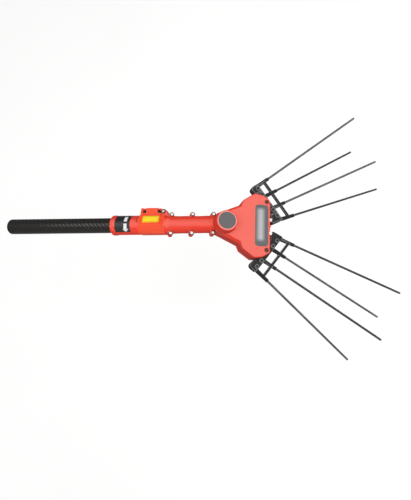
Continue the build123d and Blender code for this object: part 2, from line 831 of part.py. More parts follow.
def comb_nuts():
    group = Part()
    low = -comb_half - comb_boss_height
    for x, y in comb_screw_places():
        nut = hexagon(comb_nut_flats, low + comb_nut_sunk, low + comb_nut_height, x, y)
        group += nut - post(screw_r + bond_gap, low, low + comb_nut_height, x, y)
    return group


def tail_pin():
    x, y = tail_local()
    top = con_rod_gap + con_rod_height + side_gap
    pin = post(tail_pin_r, -comb_half, top, x, y)
    return pin + post(tail_clip_r, top, top + tail_clip_height, x, y)


def rod(i):
    end, along = rod_line(i)
    shape = post(rod_r, -rod_insert, rod_free)
    shape = fillet(shape.edges().sort_by(Axis.Z)[-1], rod_tip_round)
    return Plane(origin=end, z_dir=along) * shape


# Bevel gears
def tooth_outline(teeth, cone, addendum, dedendum, phase):
    # Involute teeth drawn on the back cone, then carried to the flat heel plane along lines to the apex
    tilt = math.radians(cone)
    pitch_r = gear_module * teeth / 2
    back_r = pitch_r / math.cos(tilt)
    base_r = back_r * math.cos(math.radians(pressure_angle))
    heel = cone_length * math.cos(tilt)
    tip, root = back_r + addendum, back_r - dedendum
    half_tooth = (math.pi * gear_module / 2 - gear_backlash) / 2 / back_r
    inv = math.tan(math.radians(pressure_angle)) - math.radians(pressure_angle)
    flank = []
    start = max(root, base_r)
    steps = 5
    for k in range(steps + 1):
        r = start + (tip - start) * k / steps
        a = math.acos(min(1.0, base_r / r))
        flank.append((r, half_tooth + inv - (math.tan(a) - a)))
    if root < start:
        flank.insert(0, (root, flank[0][1]))
    points = []
    for t in range(teeth):
        middle = 2 * math.pi * t / teeth + math.radians(phase)
        side = [(r, -half) for r, half in flank] + [(r, half) for r, half in reversed(flank)]
        for r, angle in side:
            rise = r - back_r
            scale = heel / (heel - rise * math.sin(tilt))
            radius = (pitch_r + rise * math.cos(tilt)) * scale
            points.append((radius, middle + angle / math.cos(tilt)))
    return points, heel


def bevel_body(teeth, cone, addendum, dedendum, phase):
    # Apex at the origin, axis +Z from the apex towards the heel
    points, heel = tooth_outline(teeth, cone, addendum, dedendum, phase)
    toe = 1 - gear_face / cone_length
    faces = []
    for scale in (toe, 1.0):
        ring = [(r * scale * math.cos(a), r * scale * math.sin(a), heel * scale) for r, a in points]
        faces.append(make_face(Polyline(*ring, close=True)))
    return loft(faces, ruled=True), heel


def crank_gear():
    gear, heel = bevel_body(gear_teeth, gear_cone, gear_addendum * gear_module,
                            (pinion_addendum + tooth_foot - 1) * gear_module, 0)
    gear += post(gear_hub_r, heel - sink, gear_hub_end())
    gear -= post(gear_seat_r + bond_gap, 0, gear_hub_end())
    return head * Rot(180, 0, 0) * gear


def drive_pinion():
    pinion, heel = bevel_body(pinion_teeth, pinion_cone, pinion_addendum * gear_module,
                              (gear_addendum + tooth_foot - 1) * gear_module, 180 / pinion_teeth)
    pinion += post(pinion_radius - pinion_hub_step, heel - sink, heel + pinion_hub_length)
    pinion -= post(shaft_r + bond_gap, 0, heel + pinion_hub_length)
    return Location((crank_x, 0, 0), (0, -90, 0)) * pinion


def gear_toe_depth():
    return (cone_length - gear_face) * math.cos(math.radians(gear_cone))


def gear_hub_end():
    # Depth below the apex where the hub meets the lower bearing
    return -lower_bearing_low - bearing_width - side_gap


# Crank and connecting rods
def con_rod_low(sign):
    return comb_z + con_rod_gap if sign > 0 else comb_z - con_rod_gap - con_rod_height


def eccentric_span():
    return con_rod_low(-1) - eccentric_room, con_rod_low(1) + con_rod_height + eccentric_room


def crankshaft():
    low, high = eccentric_span()
    shaft = post(journal_r, lower_bearing_low + side_gap, -gear_hub_end())
    shaft += post(gear_seat_r, -gear_hub_end(), -gear_toe_depth())
    shaft += post(eccentric_r + throw + web_lip, -gear_toe_depth(), low)
    shaft += post(eccentric_r, low, high, crank_pin_x)
    shaft += post(journal_r, high, upper_bearing_low + bearing_width)
    return head * shaft


def crank_spacer():
    high = eccentric_span()[1]
    ring = post(eccentric_r + throw + web_lip, high, high + spacer_web)
    ring += post(journal_r + spacer_wall, high, upper_bearing_low - side_gap)
    return head * (ring - post(journal_r + bond_gap, high, upper_bearing_low))


def ball_bearing(bore, outside, width):
    # One solid ring with a groove on each face between its races
    ring = post(outside, 0, width) - post(bore, 0, width)
    middle = (bore + outside) / 2
    groove = post(middle + race_half, 0, race_depth) - post(middle - race_half, 0, race_depth)
    return ring - groove - Pos(0, 0, width - race_depth) * groove


def crank_bearing(low):
    return head * Pos(0, 0, low) * ball_bearing(journal_r + running_gap, bearing_r, bearing_width)


def con_rod(sign):
    # The bore is on the eccentric, and the window at the other end surrounds the comb's tail pin
    low = con_rod_low(sign)
    high = low + con_rod_height
    length = math.hypot(tail_x - crank_pin_x, tail_y)
    big_r = eccentric_r + running_gap + con_rod_wall
    arm = post(big_r, low, high) + block(0, length, -con_rod_width / 2, con_rod_width / 2, low, high)
    eye_half, side_half, shift = eye_length / 2, eye_width / 2, -sign * eye_shift
    eye = block(length - eye_half - eye_wall, length + eye_half + eye_wall,
                shift - side_half - eye_wall, shift + side_half + eye_wall, low, high)
    arm += fillet(upright_edges(eye), eye_round + eye_wall)
    arm -= post(eccentric_r + running_gap, low, high)
    window = block(length - eye_half, length + eye_half, shift - side_half, shift + side_half, low, high)
    arm -= fillet(upright_edges(window), eye_round)
    return head * Pos(crank_pin_x, 0, 0) * Rot(0, 0, sign * tail_angle) * arm


# Motor
def motor_can():
    start, end = motor_start + side_gap, motor_end - side_gap
    floor = rear_bearing + motor_bearing_width
    can = bar(motor_radius, start, end) - bar(motor_radius - motor_wall, floor, end)
    can -= bar(motor_bearing_r + bond_gap, rear_bearing, floor)
    return can - bar(shaft_r + shaft_room, start, end)


def motor_plate():
    end = motor_end - side_gap
    disc = bar(motor_radius - motor_wall - bond_gap, front_bearing, end)
    disc -= bar(motor_bearing_r + bond_gap, front_bearing, front_bearing + motor_bearing_width)
    return disc - bar(shaft_r + shaft_room, front_bearing, end)


def motor_bearings():
    group = Part()
    for start in (rear_bearing, front_bearing):
        ring = ball_bearing(shaft_r + running_gap, motor_bearing_r, motor_bearing_width)
        group += Location((start, 0, 0), (0, 90, 0)) * ring
    return group


def stator_core():
    core = bar(stator_radius, stator_start, stator_end) - bar(stator_bore, stator_start, stator_end)
    middle = (stator_bore + stator_radius) / 2
    slot = bar((stator_radius - stator_bore) / 2 - slot_wall, stator_start, stator_end, 0, middle)
    slot += block(stator_start, stator_end, -slot_mouth, slot_mouth, stator_bore - sink, middle)
    for i in range(slot_count):
        core -= Rot(360 * i / slot_count, 0, 0) * slot
    return core


def stator_coils():
    group = Part()
    length = coil_length - coil_gap
    for start in (stator_start - length, stator_end):
        ring = bar(stator_radius - slot_wall, start, start + length)
        group += ring - bar(stator_bore + slot_wall, start, start + length)
    return group


def rotor_core():
    start, end = stator_start + rotor_short / 2, stator_end - rotor_short / 2
    core = bar(stator_bore - air_gap, start, end) - bar(shaft_r + bond_gap, start, end)
    rims = core.edges().filter_by(GeomType.CIRCLE).filter_by(lambda e: e.radius > shaft_r + sink)
    return fillet(rims, rotor_round)


def motor_shaft():
    toe = (cone_length - gear_face) * math.cos(math.radians(pinion_cone))
    return bar(shaft_r, rear_bearing + shaft_end, crank_x - toe - shaft_end)


def lead_grommet():
    start = motor_start - bulkhead_length
    body = bar(grommet_r - bond_gap, start, motor_start - grommet_short)
    body += bar(grommet_r + grommet_flange, start - grommet_lip, start)
    return body - bar(grommet_bore, start - grommet_lip, motor_start)


upper_shell, lower_shell = housing()
save("pole_tube", pole_tube())
save("pole_collar", pole_collar())
save("clamp_block", clamp_block())
save("clamp_screws", clamp_screws())
save("clamp_nuts", clamp_nuts())
save("upper_shell", upper_shell)
save("lower_shell", lower_shell)
save("shell_screws", shell_screws())
save("badge_disc", badge_disc())
save("name_plate", name_plate())
save("pivot_bolts", pivot_bolts())
save("pivot_nuts", pivot_nuts())
save("pivot_sleeves", pivot_sleeves())
save("motor_can", motor_can())
save("motor_plate", motor_plate())
save("motor_bearings", motor_bearings())
save("stator_core", stator_core())
save("stator_coils", stator_coils())
save("lead_grommet", lead_grommet())
save("upper_crank_bearing", crank_bearing(upper_bearing_low))
save("lower_crank_bearing", crank_bearing(lower_bearing_low))
save("rotor_core", rotor_core())
save("motor_shaft", motor_shaft())
save("drive_pinion", drive_pinion())
save("crankshaft", crankshaft())
save("crank_spacer", crank_spacer())
save("crank_gear", crank_gear())
save("upper_con_rod", con_rod(1))
save("lower_con_rod", con_rod(-1))

comb_pieces = {
    "comb_frame": comb_frame(),
    "comb_cover": comb_cover(),
    "comb_screws": comb_screws(),
    "comb_nuts": comb_nuts(),
    "tail_pin": tail_pin(),
}
for number in range(len(rod_fan)):
    comb_pieces[f"rod_{number + 1}"] = rod(number)
for name, piece in comb_pieces.items():
    save("upper_" + name, upper_place(piece))
    save("lower_" + name, lower_place(piece))
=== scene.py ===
import bmesh
import bpy
import json
import math
import numpy as np
from mathutils import Matrix, Vector


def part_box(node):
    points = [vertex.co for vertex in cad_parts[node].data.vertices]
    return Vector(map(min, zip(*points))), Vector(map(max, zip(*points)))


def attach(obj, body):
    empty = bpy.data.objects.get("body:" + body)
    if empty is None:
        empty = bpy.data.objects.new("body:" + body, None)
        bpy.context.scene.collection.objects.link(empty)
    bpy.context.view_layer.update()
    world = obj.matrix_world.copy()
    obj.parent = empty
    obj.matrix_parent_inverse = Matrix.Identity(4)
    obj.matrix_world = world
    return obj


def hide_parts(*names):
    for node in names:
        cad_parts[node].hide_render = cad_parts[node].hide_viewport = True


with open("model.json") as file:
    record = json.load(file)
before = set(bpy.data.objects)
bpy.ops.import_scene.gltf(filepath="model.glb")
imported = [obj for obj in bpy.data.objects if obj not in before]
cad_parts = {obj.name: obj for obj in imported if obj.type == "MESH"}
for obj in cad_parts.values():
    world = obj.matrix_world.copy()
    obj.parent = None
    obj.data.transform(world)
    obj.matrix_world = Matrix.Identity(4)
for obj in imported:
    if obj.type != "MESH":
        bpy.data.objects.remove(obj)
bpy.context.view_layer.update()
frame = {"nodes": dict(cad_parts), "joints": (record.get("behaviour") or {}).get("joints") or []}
nodes = frame["nodes"]
scene = bpy.context.scene
combs = ("upper", "lower")
millimetre = 0.001
mergeDistance = 1e-6
crank = next(joint for joint in frame["joints"] if joint["name"] == "crank_spin")
crankPlace = Vector(crank["pos_m"])
headUp = Vector(crank["axis"])  # the head's flat top looks along the crank's axis
print("frame loaded:", len(nodes), "nodes")


# small helpers
def linear(hexCode):
    # sRGB hex to linear RGBA
    parts = [int(hexCode[i:i + 2], 16) / 255 for i in (1, 3, 5)]
    flat = [p / 12.92 if p <= 0.04045 else ((p + 0.055) / 1.055) ** 2.4 for p in parts]
    return (*flat, 1.0)


def addNode(tree, kind, settings=None, values=None, links=None):
    # values and links name their sockets, or number them
    node = tree.nodes.new(kind)
    for name, value in (settings or {}).items():
        setattr(node, name, value)
    for socket, value in (values or {}).items():
        node.inputs[socket].default_value = value
    for socket, source in (links or {}).items():
        tree.links.new(source, node.inputs[socket])
    return node


def newMaterial(name):
    material = bpy.data.materials.new(name)
    material.use_nodes = True
    tree = material.node_tree
    tree.nodes.clear()
    return material, tree


def finishMaterial(tree, values, links):
    shader = addNode(tree, "ShaderNodeBsdfPrincipled", None, values, links)
    addNode(tree, "ShaderNodeOutputMaterial", None, None, {"Surface": shader.outputs["BSDF"]})


def meshObject(name, vertices, faces, material):
    mesh = bpy.data.meshes.new(name)
    mesh.from_pydata([tuple(v) for v in vertices], [], faces)
    mesh.update()
    piece = bpy.data.objects.new(name, mesh)
    scene.collection.objects.link(piece)
    mesh.materials.append(material)
    return piece


def smoothByAngle(mesh, crispDeg=30):
    # round faces shade smooth, and sharper edges stay crisp
    for face in mesh.polygons:
        face.use_smooth = True
    mesh.set_sharp_from_angle(angle=math.radians(crispDeg))


def islands(node):
    # points of each separate solid in a CAD node, in metres
    work = bmesh.new()
    work.from_mesh(nodes[node].data)
    bmesh.ops.remove_doubles(work, verts=work.verts, dist=mergeDistance)
    left = set(work.verts)
    found = []
    for first in work.verts:  # in the mesh's own order, so that each run gives the same
        if first not in left:
            continue
        left.remove(first)
        queue = [first]
        solid = []
        while queue:
            vertex = queue.pop()
            solid.append(vertex.co.copy())
            for edge in vertex.link_edges:
                other = edge.other_vert(vertex)
                if other in left:
                    left.remove(other)
                    queue.append(other)
        found.append(np.array(solid))
    work.free()
    return found


def longEnds(points):
    # the two ends of a long solid, on its own axis
    centre = points.mean(0)
    direction = np.linalg.svd(points - centre, full_matrices=False)[2][0]
    along = (points - centre) @ direction
    return centre + direction * along.min(), centre + direction * along.max()


def unitVector(vector):
    return vector / np.linalg.norm(vector)


# patterns that several materials share
colourMix = {"data_type": "RGBA"}  # such a Mix node takes its colours at 6 and 7 and gives the result at 2
softMottle = {"From Min": 0.3, "From Max": 0.7}  # the part of a mottle's range that is drawn out to 0 and 1
crispMottle = {"From Min": 0.35, "From Max": 0.65}
edgeWearAndLightLook = {"samples": 4, "flat": 0.995, "edge": 0.85, "patchLow": 0.38, "patchHigh": 0.62}


def mottle(tree, sizeMm, detail, stretch=(1, 1, 1)):
    # cloudy pattern with patches of a real size, fixed to the piece
    place = addNode(tree, "ShaderNodeTexCoord").outputs["Object"]
    place = addNode(tree, "ShaderNodeMapping", None, {"Scale": stretch}, {"Vector": place}).outputs["Vector"]
    return addNode(tree, "ShaderNodeTexNoise", None, {"Scale": 1 / (sizeMm * millimetre), "Detail": detail},
                   {"Vector": place}).outputs["Fac"]


# edges recoloured: rubbing wear, and on the plastics and the housing's button heads also painted light
# (highlights on fillets, a shade ring round the heads)
def edgeWearAndPaintedLight(tree, widthMm, patchMm, least):
    # how far the rounded normal leaves the flat one, broken up in patches
    soft = addNode(tree, "ShaderNodeBevel", {"samples": edgeWearAndLightLook["samples"]},
                   {"Radius": widthMm * millimetre}).outputs["Normal"]
    flat = addNode(tree, "ShaderNodeNewGeometry").outputs["Normal"]
    close = addNode(tree, "ShaderNodeVectorMath", {"operation": "DOT_PRODUCT"}, None,
                    {0: soft, 1: flat}).outputs["Value"]
    edgeSpan = {"From Min": edgeWearAndLightLook["flat"], "From Max": edgeWearAndLightLook["edge"]}
    edge = addNode(tree, "ShaderNodeMapRange", None, edgeSpan, {"Value": close}).outputs["Result"]
    patchSpan = {"From Min": edgeWearAndLightLook["patchLow"], "From Max": edgeWearAndLightLook["patchHigh"], "To Min": least}
    patch = mottle(tree, patchMm, detail=3)
    patch = addNode(tree, "ShaderNodeMapRange", None, patchSpan, {"Value": patch}).outputs["Result"]
    return addNode(tree, "ShaderNodeMath", {"operation": "MULTIPLY"}, None, {0: edge, 1: patch}).outputs[0]


# what the plastics share
mouldedLook = {"grainMm": 1.0, "grainDepthMm": 0.02, "leastWorn": 0.25, "ior": 1.53}


def moulded(look):
    # injection moulded plastic: satin, a spark-eroded grain, slight cloudiness, paler along the edges, partly
    # where they rub and partly a painted highlight on the fillets
    look = {**mouldedLook, **look}
    material, tree = newMaterial(look["name"])
    cloud = mottle(tree, look["cloudMm"], detail=2)
    cloud = addNode(tree, "ShaderNodeMapRange", None, softMottle, {"Value": cloud}).outputs["Result"]
    colours = {6: linear(look["colour"]), 7: linear(look["cloudColour"])}
    colour = addNode(tree, "ShaderNodeMix", colourMix, colours, {"Factor": cloud}).outputs[2]
    if "fadeAndSheenColour" in look:
        # faces that look the same way as the head's top turn paler: partly sun and dust fade, partly a
        # painted sheen of the overhead light
        facing = addNode(tree, "ShaderNodeTexCoord").outputs["Normal"]
        upward = addNode(tree, "ShaderNodeVectorMath", {"operation": "DOT_PRODUCT"}, {1: headUp},
                         {0: facing}).outputs["Value"]
        fadeAndSheenSpan = {"From Min": look["fadeAndSheenFrom"], "From Max": look["fadeAndSheenTo"]}
        fadeAndSheen = addNode(tree, "ShaderNodeMapRange", None, fadeAndSheenSpan, {"Value": upward}).outputs["Result"]
        colour = addNode(tree, "ShaderNodeMix", colourMix, {7: linear(look["fadeAndSheenColour"])},
                         {"Factor": fadeAndSheen, 6: colour}).outputs[2]
    worn = edgeWearAndPaintedLight(tree, look["edgeMm"], look["patchMm"], look["leastWorn"])
    colour = addNode(tree, "ShaderNodeMix", colourMix, {7: linear(look["wornColour"])},
                     {"Factor": worn, 6: colour}).outputs[2]
    grain = mottle(tree, look["grainMm"], detail=2)
    smooth, rough = look["roughness"]
    glossSpan = {**softMottle, "To Min": smooth, "To Max": rough}
    roughness = addNode(tree, "ShaderNodeMapRange", None, glossSpan, {"Value": grain}).outputs["Result"]
    bump = addNode(tree, "ShaderNodeBump", None, {"Distance": look["grainDepthMm"] * millimetre},
                   {"Height": grain}).outputs["Normal"]
    finishMaterial(tree, {"IOR": look["ior"], "Specular IOR Level": look["specular"]},
                   {"Base Color": colour, "Roughness": roughness, "Normal": bump})
    return material


# glass-filled nylon housing: a dull skin, its grain drawn coarser than the real 0.3 mm so that it shows;
# faces along the head's top turn paler, partly sun and dust fade and partly a painted sheen of the overhead
# light, and its edges turn paler, partly wear and partly a painted highlight
redNylon = moulded({"name": "redGlassNylon", "colour": "#E43B27", "cloudColour": "#DD3421",
                    "wornColour": "#F98D7E", "cloudMm": 60, "grainMm": 1.6, "grainDepthMm": 0.03,
                    "edgeMm": 1.0, "patchMm": 9, "leastWorn": 0.4, "roughness": (0.5, 0.6), "specular": 0.3,
                    "fadeAndSheenColour": "#E66356", "fadeAndSheenFrom": 0.8, "fadeAndSheenTo": 0.99})
# clamp: unfilled nylon, more orange and a little glossier than the housing; its paler edges are partly wear
# and partly a painted highlight
orangeNylon = moulded({"name": "orangeNylon", "colour": "#EA481C", "cloudColour": "#E24017",
                       "wornColour": "#F98A68", "cloudMm": 40, "grainMm": 2.0, "edgeMm": 0.9, "patchMm": 7,
                       "leastWorn": 0.4, "roughness": (0.46, 0.56), "specular": 0.4})
# comb frames: black glass nylon, greyer along the edges, partly where twigs rub them and partly a painted
# edge highlight
blackNylon = moulded({"name": "blackGlassNylon", "colour": "#161615", "cloudColour": "#20201F",
                      "wornColour": "#A8A8AA", "cloudMm": 25, "grainMm": 1.4, "grainDepthMm": 0.03,
                      "edgeMm": 2.1, "patchMm": 5, "leastWorn": 0.55, "roughness": (0.5, 0.64),
                      "specular": 0.22})
# lead grommet, and the dark cord that paints the shade in the shells' parting gap: dull black rubber
softRubber = moulded({"name": "softRubber", "colour": "#111112", "cloudColour": "#181818",
                      "wornColour": "#242424", "cloudMm": 10, "edgeMm": 0.5, "patchMm": 3,
                      "roughness": (0.7, 0.8), "ior": 1.52, "specular": 0.5})

# what the metals share: streaks of turning and rolling, drawn coarser than the real 0.1 mm so that they show
metalLook = {"metallic": 1.0, "spotMm": 3, "edgeMm": 0.4, "leastWorn": 0.25, "streakMm": 0.6,
             "stretch": (1, 1, 0.2), "depthMm": 0.004}


def metal(name, colour, spotColour, wornColour, roughness, **changes):
    # turned, stamped or plated metal: fine streaks in the gloss, dull spots, rubbed edges
    look = {**metalLook, **changes}
    material, tree = newMaterial(name)
    spots = mottle(tree, look["spotMm"], detail=3)
    spots = addNode(tree, "ShaderNodeMapRange", None, crispMottle, {"Value": spots}).outputs["Result"]
    colours = {6: linear(colour), 7: linear(spotColour)}
    base = addNode(tree, "ShaderNodeMix", colourMix, colours, {"Factor": spots}).outputs[2]
    worn = edgeWearAndPaintedLight(tree, look["edgeMm"], look["spotMm"], look["leastWorn"])
    base = addNode(tree, "ShaderNodeMix", colourMix, {7: linear(wornColour)},
                   {"Factor": worn, 6: base}).outputs[2]
    streak = mottle(tree, look["streakMm"], detail=2, stretch=look["stretch"])
    glossSpan = {**softMottle, "To Min": roughness[0], "To Max": roughness[1]}
    gloss = addNode(tree, "ShaderNodeMapRange", None, glossSpan, {"Value": streak}).outputs["Result"]
    bump = addNode(tree, "ShaderNodeBump", None, {"Distance": look["depthMm"] * millimetre},
                   {"Height": streak}).outputs["Normal"]
    finishMaterial(tree, {"Metallic": look["metallic"]},
                   {"Base Color": base, "Roughness": gloss, "Normal": bump})
    return material


# bright plating, a little cloudy
zincSteel = metal("zincPlatedSteel", "#E4E6E8", "#D3D6DA", "#F2F2F2", (0.22, 0.36))
# button heads of the housing: the rounded rim is painted a darker grey, a painted shade ring round each
# bright head
zincWithShadedRim = metal("zincSteelShadedRim", "#C4C2C0", "#B4B2B0", "#75706E", (0.3, 0.44), edgeMm=1.3)
# pivot bolts: phosphated and oiled, so brown and half dull
brownSteel = metal("phosphatedSteel", "#703224", "#5E2A1E", "#A86050", (0.4, 0.55), metallic=0.5, edgeMm=0.9)
# black oxide with a soft shine
blackSteel = metal("blackOxideSteel", "#2A2724", "#1E1C1B", "#6A645E", (0.35, 0.5), metallic=0.85)
# rims on the combs: dark grey metal rings that paint the highlight on the edges of the screw bosses
rimHighlightGrey = metal("greyRimPaintedHighlight", "#747476", "#646466", "#98989A", (0.4, 0.55), metallic=0.6)
# inside the housing: ground, hardened, laminated and cast, from the brightest to the dullest
bearingSteel = metal("groundBearingSteel", "#B9BCC0", "#A9ADB2", "#D8DADC", (0.16, 0.26))
gearSteel = metal("hardenedGearSteel", "#8C8A88", "#74716E", "#BEBCBA", (0.28, 0.42))
motorSteel = metal("laminatedSteel", "#77797C", "#66686B", "#A5A7AA", (0.35, 0.5))
castAlloy = metal("castAluminium", "#A6A8AA", "#95979A", "#CBCDCF", (0.4, 0.55))
sinteredBronze = metal("sinteredBronze", "#A9793F", "#8E6434", "#CFA466", (0.38, 0.52))
copperWire = metal("enamelledCopper", "#B4562B", "#96431F", "#D98A5C", (0.25, 0.4))

# wound carbon tube under clear resin: 2/2 twill, tows of 2 mm that show as slanting dashes in the highlight
twillLook = {"name": "carbonTwill", "radiusMm": 16.0, "towsRound": 48, "repeatTows": 4, "overTows": 2,
             "low": "#080504", "high": "#181210", "roughLow": 0.13, "roughHigh": 0.75, "towDepthMm": 0.02,
             "ior": 1.55, "specular": 0.44}


def makeTwill(look):
    material, tree = newMaterial(look["name"])
    place = addNode(tree, "ShaderNodeTexCoord").outputs["Object"]
    axes = addNode(tree, "ShaderNodeSeparateXYZ", None, None, {0: place}).outputs
    turn = addNode(tree, "ShaderNodeMath", {"operation": "ARCTAN2"}, None,
                   {0: axes["Y"], 1: axes["Z"]}).outputs[0]
    towWidth = 2 * math.pi * look["radiusMm"] * millimetre / look["towsRound"]
    tows = []
    for source, scale in ((turn, look["towsRound"] / (2 * math.pi)), (axes["X"], 1 / towWidth)):
        count = addNode(tree, "ShaderNodeMath", {"operation": "MULTIPLY"}, {1: scale}, {0: source}).outputs[0]
        tows.append(addNode(tree, "ShaderNodeMath", {"operation": "FLOOR"}, None, {0: count}).outputs[0])
    total = addNode(tree, "ShaderNodeMath", {"operation": "ADD"}, None, {0: tows[0], 1: tows[1]}).outputs[0]
    phase = addNode(tree, "ShaderNodeMath", {"operation": "FLOORED_MODULO"}, {1: look["repeatTows"]},
                    {0: total}).outputs[0]
    over = addNode(tree, "ShaderNodeMath", {"operation": "LESS_THAN"}, {1: look["overTows"] - 0.5},
                   {0: phase}).outputs[0]
    colours = {6: linear(look["low"]), 7: linear(look["high"])}
    colour = addNode(tree, "ShaderNodeMix", colourMix, colours, {"Factor": over}).outputs[2]
    glossSpan = {"To Min": look["roughHigh"], "To Max": look["roughLow"]}
    roughness = addNode(tree, "ShaderNodeMapRange", None, glossSpan, {"Value": over}).outputs["Result"]
    bump = addNode(tree, "ShaderNodeBump", None, {"Distance": look["towDepthMm"] * millimetre},
                   {"Height": over}).outputs["Normal"]
    finishMaterial(tree, {"IOR": look["ior"], "Specular IOR Level": look["specular"]},
                   {"Base Color": colour, "Roughness": roughness, "Normal": bump})
    return material


carbonTwill = makeTwill(twillLook)

# pultruded rods: the fibres run lengthwise, so streaks are long and thin, and the tip is rubbed grey
rodFinish = {"streakLengthMm": 40, "streaksRound": 5, "wornFromMm": 286, "wornToMm": 312, "wornShare": 0.7,
             "roughness": (0.32, 0.5), "ior": 1.5}


def makeRodMaterial(name, colour, streakColour, wornColour, look):
    material, tree = newMaterial(name)
    along = addNode(tree, "ShaderNodeAttribute", {"attribute_name": "alongRod"}).outputs["Fac"]
    turn = addNode(tree, "ShaderNodeAttribute", {"attribute_name": "roundRod"}).outputs["Fac"]
    place = addNode(tree, "ShaderNodeCombineXYZ", None, None, {"X": along, "Y": turn}).outputs[0]
    scale = (1 / (look["streakLengthMm"] * millimetre), look["streaksRound"], 1)
    place = addNode(tree, "ShaderNodeMapping", None, {"Scale": scale}, {"Vector": place}).outputs[0]
    streak = addNode(tree, "ShaderNodeTexNoise", None, {"Scale": 1.0, "Detail": 3},
                     {"Vector": place}).outputs["Fac"]
    streak = addNode(tree, "ShaderNodeMapRange", None, crispMottle, {"Value": streak}).outputs["Result"]
    colours = {6: linear(colour), 7: linear(streakColour)}
    base = addNode(tree, "ShaderNodeMix", colourMix, colours, {"Factor": streak}).outputs[2]
    wornSpan = {"From Min": look["wornFromMm"] * millimetre, "From Max": look["wornToMm"] * millimetre,
                "To Max": look["wornShare"]}
    worn = addNode(tree, "ShaderNodeMapRange", None, wornSpan, {"Value": along}).outputs["Result"]
    base = addNode(tree, "ShaderNodeMix", colourMix, {7: linear(wornColour)},
                   {"Factor": worn, 6: base}).outputs[2]
    smooth, rough = look["roughness"]
    glossSpan = {"To Min": smooth, "To Max": rough}
    roughness = addNode(tree, "ShaderNodeMapRange", None, glossSpan, {"Value": streak}).outputs["Result"]
    finishMaterial(tree, {"IOR": look["ior"]}, {"Base Color": base, "Roughness": roughness})
    return material


# rods 1 and 3 are drawn in a paler grey than rods 2 and 4
lightRod = makeRodMaterial("pultrudedCarbonPaler", "#4C4C4D", "#626263", "#7A7A7A", rodFinish)
darkRod = makeRodMaterial("pultrudedCarbon", "#272728", "#3B3B3C", "#565656", rodFinish)

# badge: aluminium disc faced on a lathe, its rings drawn coarser than the real 0.2 mm so that they show
badgeLook = {"name": "spunAluminiumBadge", "colour": "#413D3F", "ringColour": "#575254", "ringMm": 0.8,
             "roughness": (0.36, 0.52), "depthMm": 0.03, "metallic": 0.1}
badgePoints = islands("badge_disc")[0]
badgeMiddle = (badgePoints.min(0) + badgePoints.max(0)) / 2
badgeAxis = np.linalg.svd(badgePoints - badgePoints.mean(0), full_matrices=False)[2][2]
badgeAxis = badgeAxis if badgeAxis[2] > 0 else -badgeAxis


def makeSpunBadge(look):
    material, tree = newMaterial(look["name"])
    place = addNode(tree, "ShaderNodeTexCoord").outputs["Object"]
    offset = addNode(tree, "ShaderNodeVectorMath", {"operation": "SUBTRACT"}, {1: badgeMiddle},
                     {0: place}).outputs["Vector"]
    sideways = addNode(tree, "ShaderNodeVectorMath", {"operation": "CROSS_PRODUCT"}, {1: badgeAxis},
                       {0: offset}).outputs["Vector"]
    radius = addNode(tree, "ShaderNodeVectorMath", {"operation": "LENGTH"}, None,
                     {0: sideways}).outputs["Value"]
    groove = addNode(tree, "ShaderNodeTexNoise", {"noise_dimensions": "1D"},
                     {"Scale": 1 / (look["ringMm"] * millimetre), "Detail": 2}, {"W": radius}).outputs["Fac"]
    ring = addNode(tree, "ShaderNodeMapRange", None, softMottle, {"Value": groove}).outputs["Result"]
    colours = {6: linear(look["colour"]), 7: linear(look["ringColour"])}
    colour = addNode(tree, "ShaderNodeMix", colourMix, colours, {"Factor": ring}).outputs[2]
    smooth, rough = look["roughness"]
    glossSpan = {"To Min": smooth, "To Max": rough}
    roughness = addNode(tree, "ShaderNodeMapRange", None, glossSpan, {"Value": ring}).outputs["Result"]
    bump = addNode(tree, "ShaderNodeBump", None, {"Distance": look["depthMm"] * millimetre},
                   {"Height": groove}).outputs["Normal"]
    finishMaterial(tree, {"Metallic": look["metallic"]},
                   {"Base Color": colour, "Roughness": roughness, "Normal": bump})
    return material


# name plate: anodised aluminium brushed across the head, with a soft paler band along its middle
plateLook = {"name": "anodisedNamePlate", "colour": "#48484B", "streakColour": "#545457", "grainMm": 1.5,
             "stretch": (1, 0.1, 1), "bandColour": "#A4A4A6", "bandSoftMm": 8, "bandAcross": (0.06, 0.8),
             "bandInsetMm": (9, 5), "roughness": (0.4, 0.5), "metallic": 0.1}


def makeNamePlate(look):
    material, tree = newMaterial(look["name"])
    streak = mottle(tree, look["grainMm"], detail=3, stretch=look["stretch"])
    streak = addNode(tree, "ShaderNodeMapRange", None, softMottle, {"Value": streak}).outputs["Result"]
    colours = {6: linear(look["colour"]), 7: linear(look["streakColour"])}
    colour = addNode(tree, "ShaderNodeMix", colourMix, colours, {"Factor": streak}).outputs[2]
    low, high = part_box("name_plate")
    lowInset, highInset = look["bandInsetMm"]
    spans = {"X": [low.x + share * (high.x - low.x) for share in look["bandAcross"]],
             "Y": [low.y + lowInset * millimetre, high.y - highInset * millimetre]}
    place = addNode(tree, "ShaderNodeTexCoord").outputs["Object"]
    axes = addNode(tree, "ShaderNodeSeparateXYZ", None, None, {0: place}).outputs
    soft = look["bandSoftMm"] * millimetre
    ends = []
    for axis, (start, end) in spans.items():
        for outside, inside in ((start, start + soft), (end, end - soft)):
            ends.append(addNode(tree, "ShaderNodeMapRange", None, {"From Min": outside, "From Max": inside},
                                {"Value": axes[axis]}).outputs["Result"])
    band = ends[0]
    for end in ends[1:]:
        band = addNode(tree, "ShaderNodeMath", {"operation": "MULTIPLY"}, None, {0: band, 1: end}).outputs[0]
    colour = addNode(tree, "ShaderNodeMix", colourMix, {7: linear(look["bandColour"])},
                     {"Factor": band, 6: colour}).outputs[2]
    smooth, rough = look["roughness"]
    glossSpan = {"To Min": smooth, "To Max": rough}
    roughness = addNode(tree, "ShaderNodeMapRange", None, glossSpan, {"Value": streak}).outputs["Result"]
    finishMaterial(tree, {"Metallic": look["metallic"]}, {"Base Color": colour, "Roughness": roughness})
    return material


badgePlate = makeSpunBadge(badgeLook)
namePlate = makeNamePlate(plateLook)
print("materials made:", len(bpy.data.materials))

